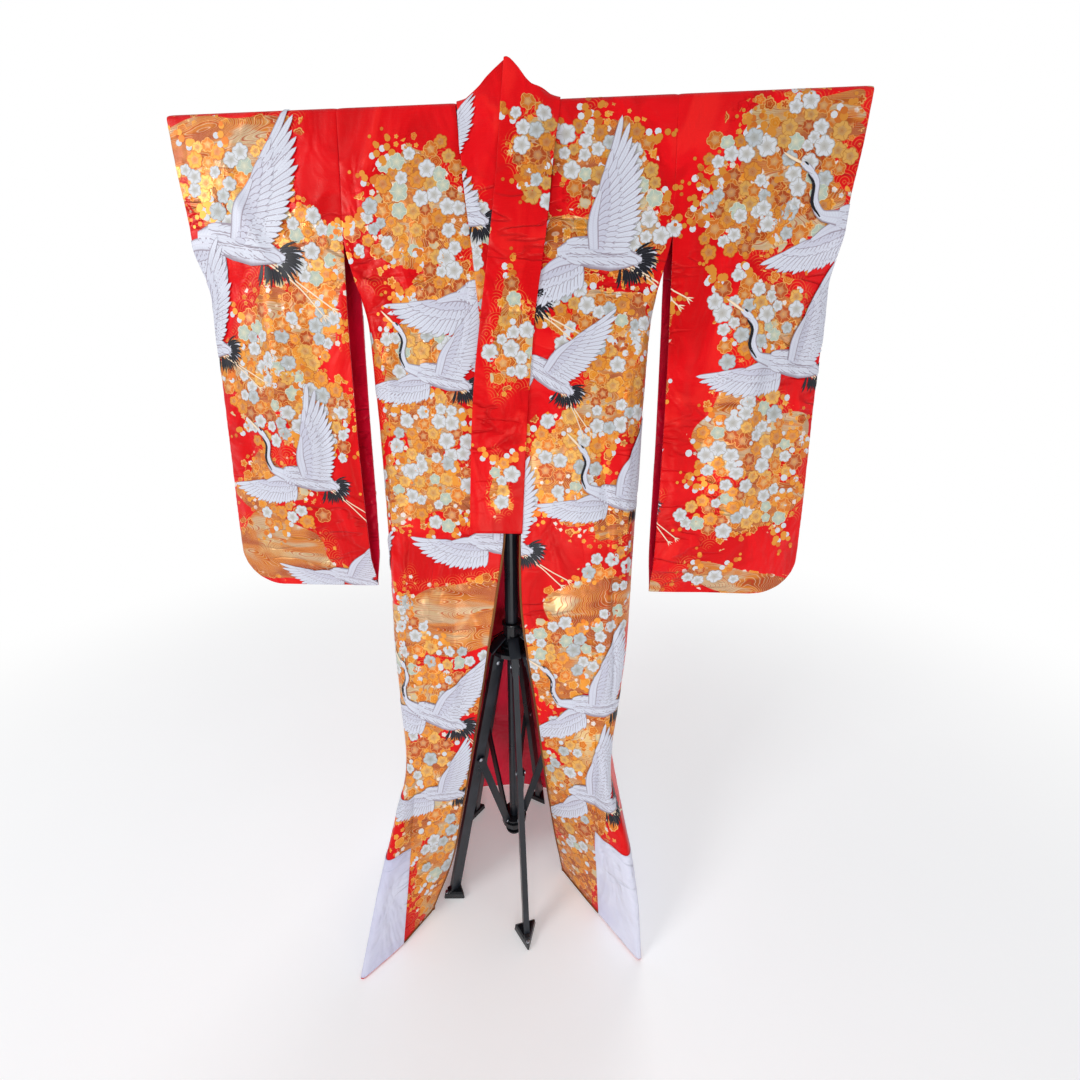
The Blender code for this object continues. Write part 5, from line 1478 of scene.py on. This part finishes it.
def woven_on(name, drawing, hung, lowest):
    """The figures that fall on one panel, cut at its seams and above its hem cover, laid on its face."""
    across, up, _ = read(drawing.vertices, "co", 3).T
    left, right = (np.interp(-up, -hung.up, pick(hung.across[:, [0, -1]], axis=1)) for pick in (np.min, np.max))
    off = (across < left) | (across > right) | (up > hung.up[0]) | (up < hung.up[-1])
    corners = read(drawing.loops, "vertex_index", 1, np.int32)
    starts = read(drawing.polygons, "loop_start", 1, np.int32)
    outside = np.logical_and.reduceat(off[corners], starts)
    outside |= np.logical_or.reduceat((up < lowest(across))[corners], starts)
    if outside.all():
        return None
    piece = bmesh.new()
    piece.from_mesh(drawing)
    piece.faces.ensure_lookup_table()
    bmesh.ops.delete(piece, geom=[piece.faces[k] for k in np.flatnonzero(outside)], context="FACES")
    mesh = mesh_of(name, piece)
    across, up, lift = read(mesh.vertices, "co", 3).T
    row = np.clip(np.interp(-up, -hung.up, np.arange(len(hung.up))), 0, len(hung.up) - 1.0001)
    i, t = row.astype(int), row % 1
    first, last = (hung.across[i, k] * (1 - t) + hung.across[i + 1, k] * t for k in (0, -1))
    share = np.clip((across - first) / (last - first), 0.0, 1.0)
    column = np.clip(np.interp(share, hung.shares, np.arange(len(hung.shares))), 0, len(hung.shares) - 1.0001)
    j, s, t = column.astype(int), (column % 1)[:, None], t[:, None]

    def on(grid):
        upper = grid[i, j] * (1 - s) + grid[i, j + 1] * s
        return upper * (1 - t) + (grid[i + 1, j] * (1 - s) + grid[i + 1, j + 1] * s) * t

    away = on(normals_of(hung))
    away /= np.linalg.norm(away, axis=1)[:, None]
    half_wall = (BAND if "collar" in name else CLOTH) / 2
    laid(mesh, on(hung.spots) + away * (half_wall + lift[:, None]), hung.outward)
    for thread in (feather_silk, plume_silk, blossom_silk, shank_silk):
        mesh.materials.append(thread)
    obj = new_object(name, mesh)
    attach(obj, "root")
    return obj


for label, birds, sprays, seed, kinds, words in (
    ("front figures", FRONT_BIRDS, FRONT_SPRAYS, 11, ("front", "okumi", "sleeve_front"), ("left", "right")),
    ("back figures", BACK_BIRDS, BACK_SPRAYS, 23, ("back", "sleeve_back"), ("left", "right")),
    ("right collar figures", (), COLLAR_RIGHT_SPRAYS, 5, ("collar",), ("right",)),
    ("left collar figures", COLLAR_LEFT_BIRDS, COLLAR_LEFT_SPRAYS, 7, ("collar",), ("left",)),
):
    drawing = drawn_flat(label, birds, sprays, seed)
    for panel in [f"{kind}_{word}" for kind in kinds for word in words]:
        lowest = cover_top if panel.startswith(("front_", "back_")) else np.zeros_like
        made = woven_on("figures_" + panel, drawing, hung_cloth[panel], lowest)
    bpy.data.meshes.remove(drawing)

for name, flat, area, held, rests in (
    ("back", (0.36, 1.90), 0.64, "hung", "crossbar"), ("front", (0.33, 1.87), 0.42, "hung", "crossbar"),
    ("okumi", (0.16, 1.60), 0.15, "hung", "silk_front"), ("sleeve_front", (0.34, 1.03), 0.34, "hung", "crossbar"),
    ("sleeve_back", (0.34, 1.03), 0.34, "hung", "crossbar"), ("collar", (0.11, 0.93), 0.10, "folded", "silk_front"),
):
    for _, word in SIDES:
        piece, lies_on = pieces[f"{name}_{word}"], [f"{rests}_{word}"]

# ---- Studio floor ----------------------------------------------------------------------------------
# A wide pale matt floor, faintly mottled, that the stand's feet and the hem rest on. Away from the
# robe it glows as white as the room behind it, so no edge shows.
FLOOR_RADIUS, GLOW_FROM, GLOW_FULL = 14.0, 0.7, 3.2
paper, tree, shader = new_finish("floor", Roughness=0.85, Emission_Strength=1.0, Specular_IOR_Level=0.0)
place = node(tree, "TexCoord")["Object"]
far = between(node(tree, "VectorMath", {0: place}, operation="LENGTH")["Value"], GLOW_FROM, GLOW_FULL)
pale = overlaid(rgb(0.90, 0.90, 0.91), (noise(place, 3.0, 4.0), rgb(0.93, 0.93, 0.94)))
feed(shader, {
    "Base Color": overlaid(pale, (far, rgb(0.0, 0.0, 0.0))),
    "Emission Color": overlaid(rgb(0.24, 0.24, 0.24), (far, rgb(1.0, 1.0, 1.0))),
})
bm = bmesh.new()
bmesh.ops.create_circle(bm, cap_ends=True, segments=96, radius=FLOOR_RADIUS)
mesh = mesh_of("floor", bm)
mesh.materials.append(paper)
floor = new_object("floor", mesh)
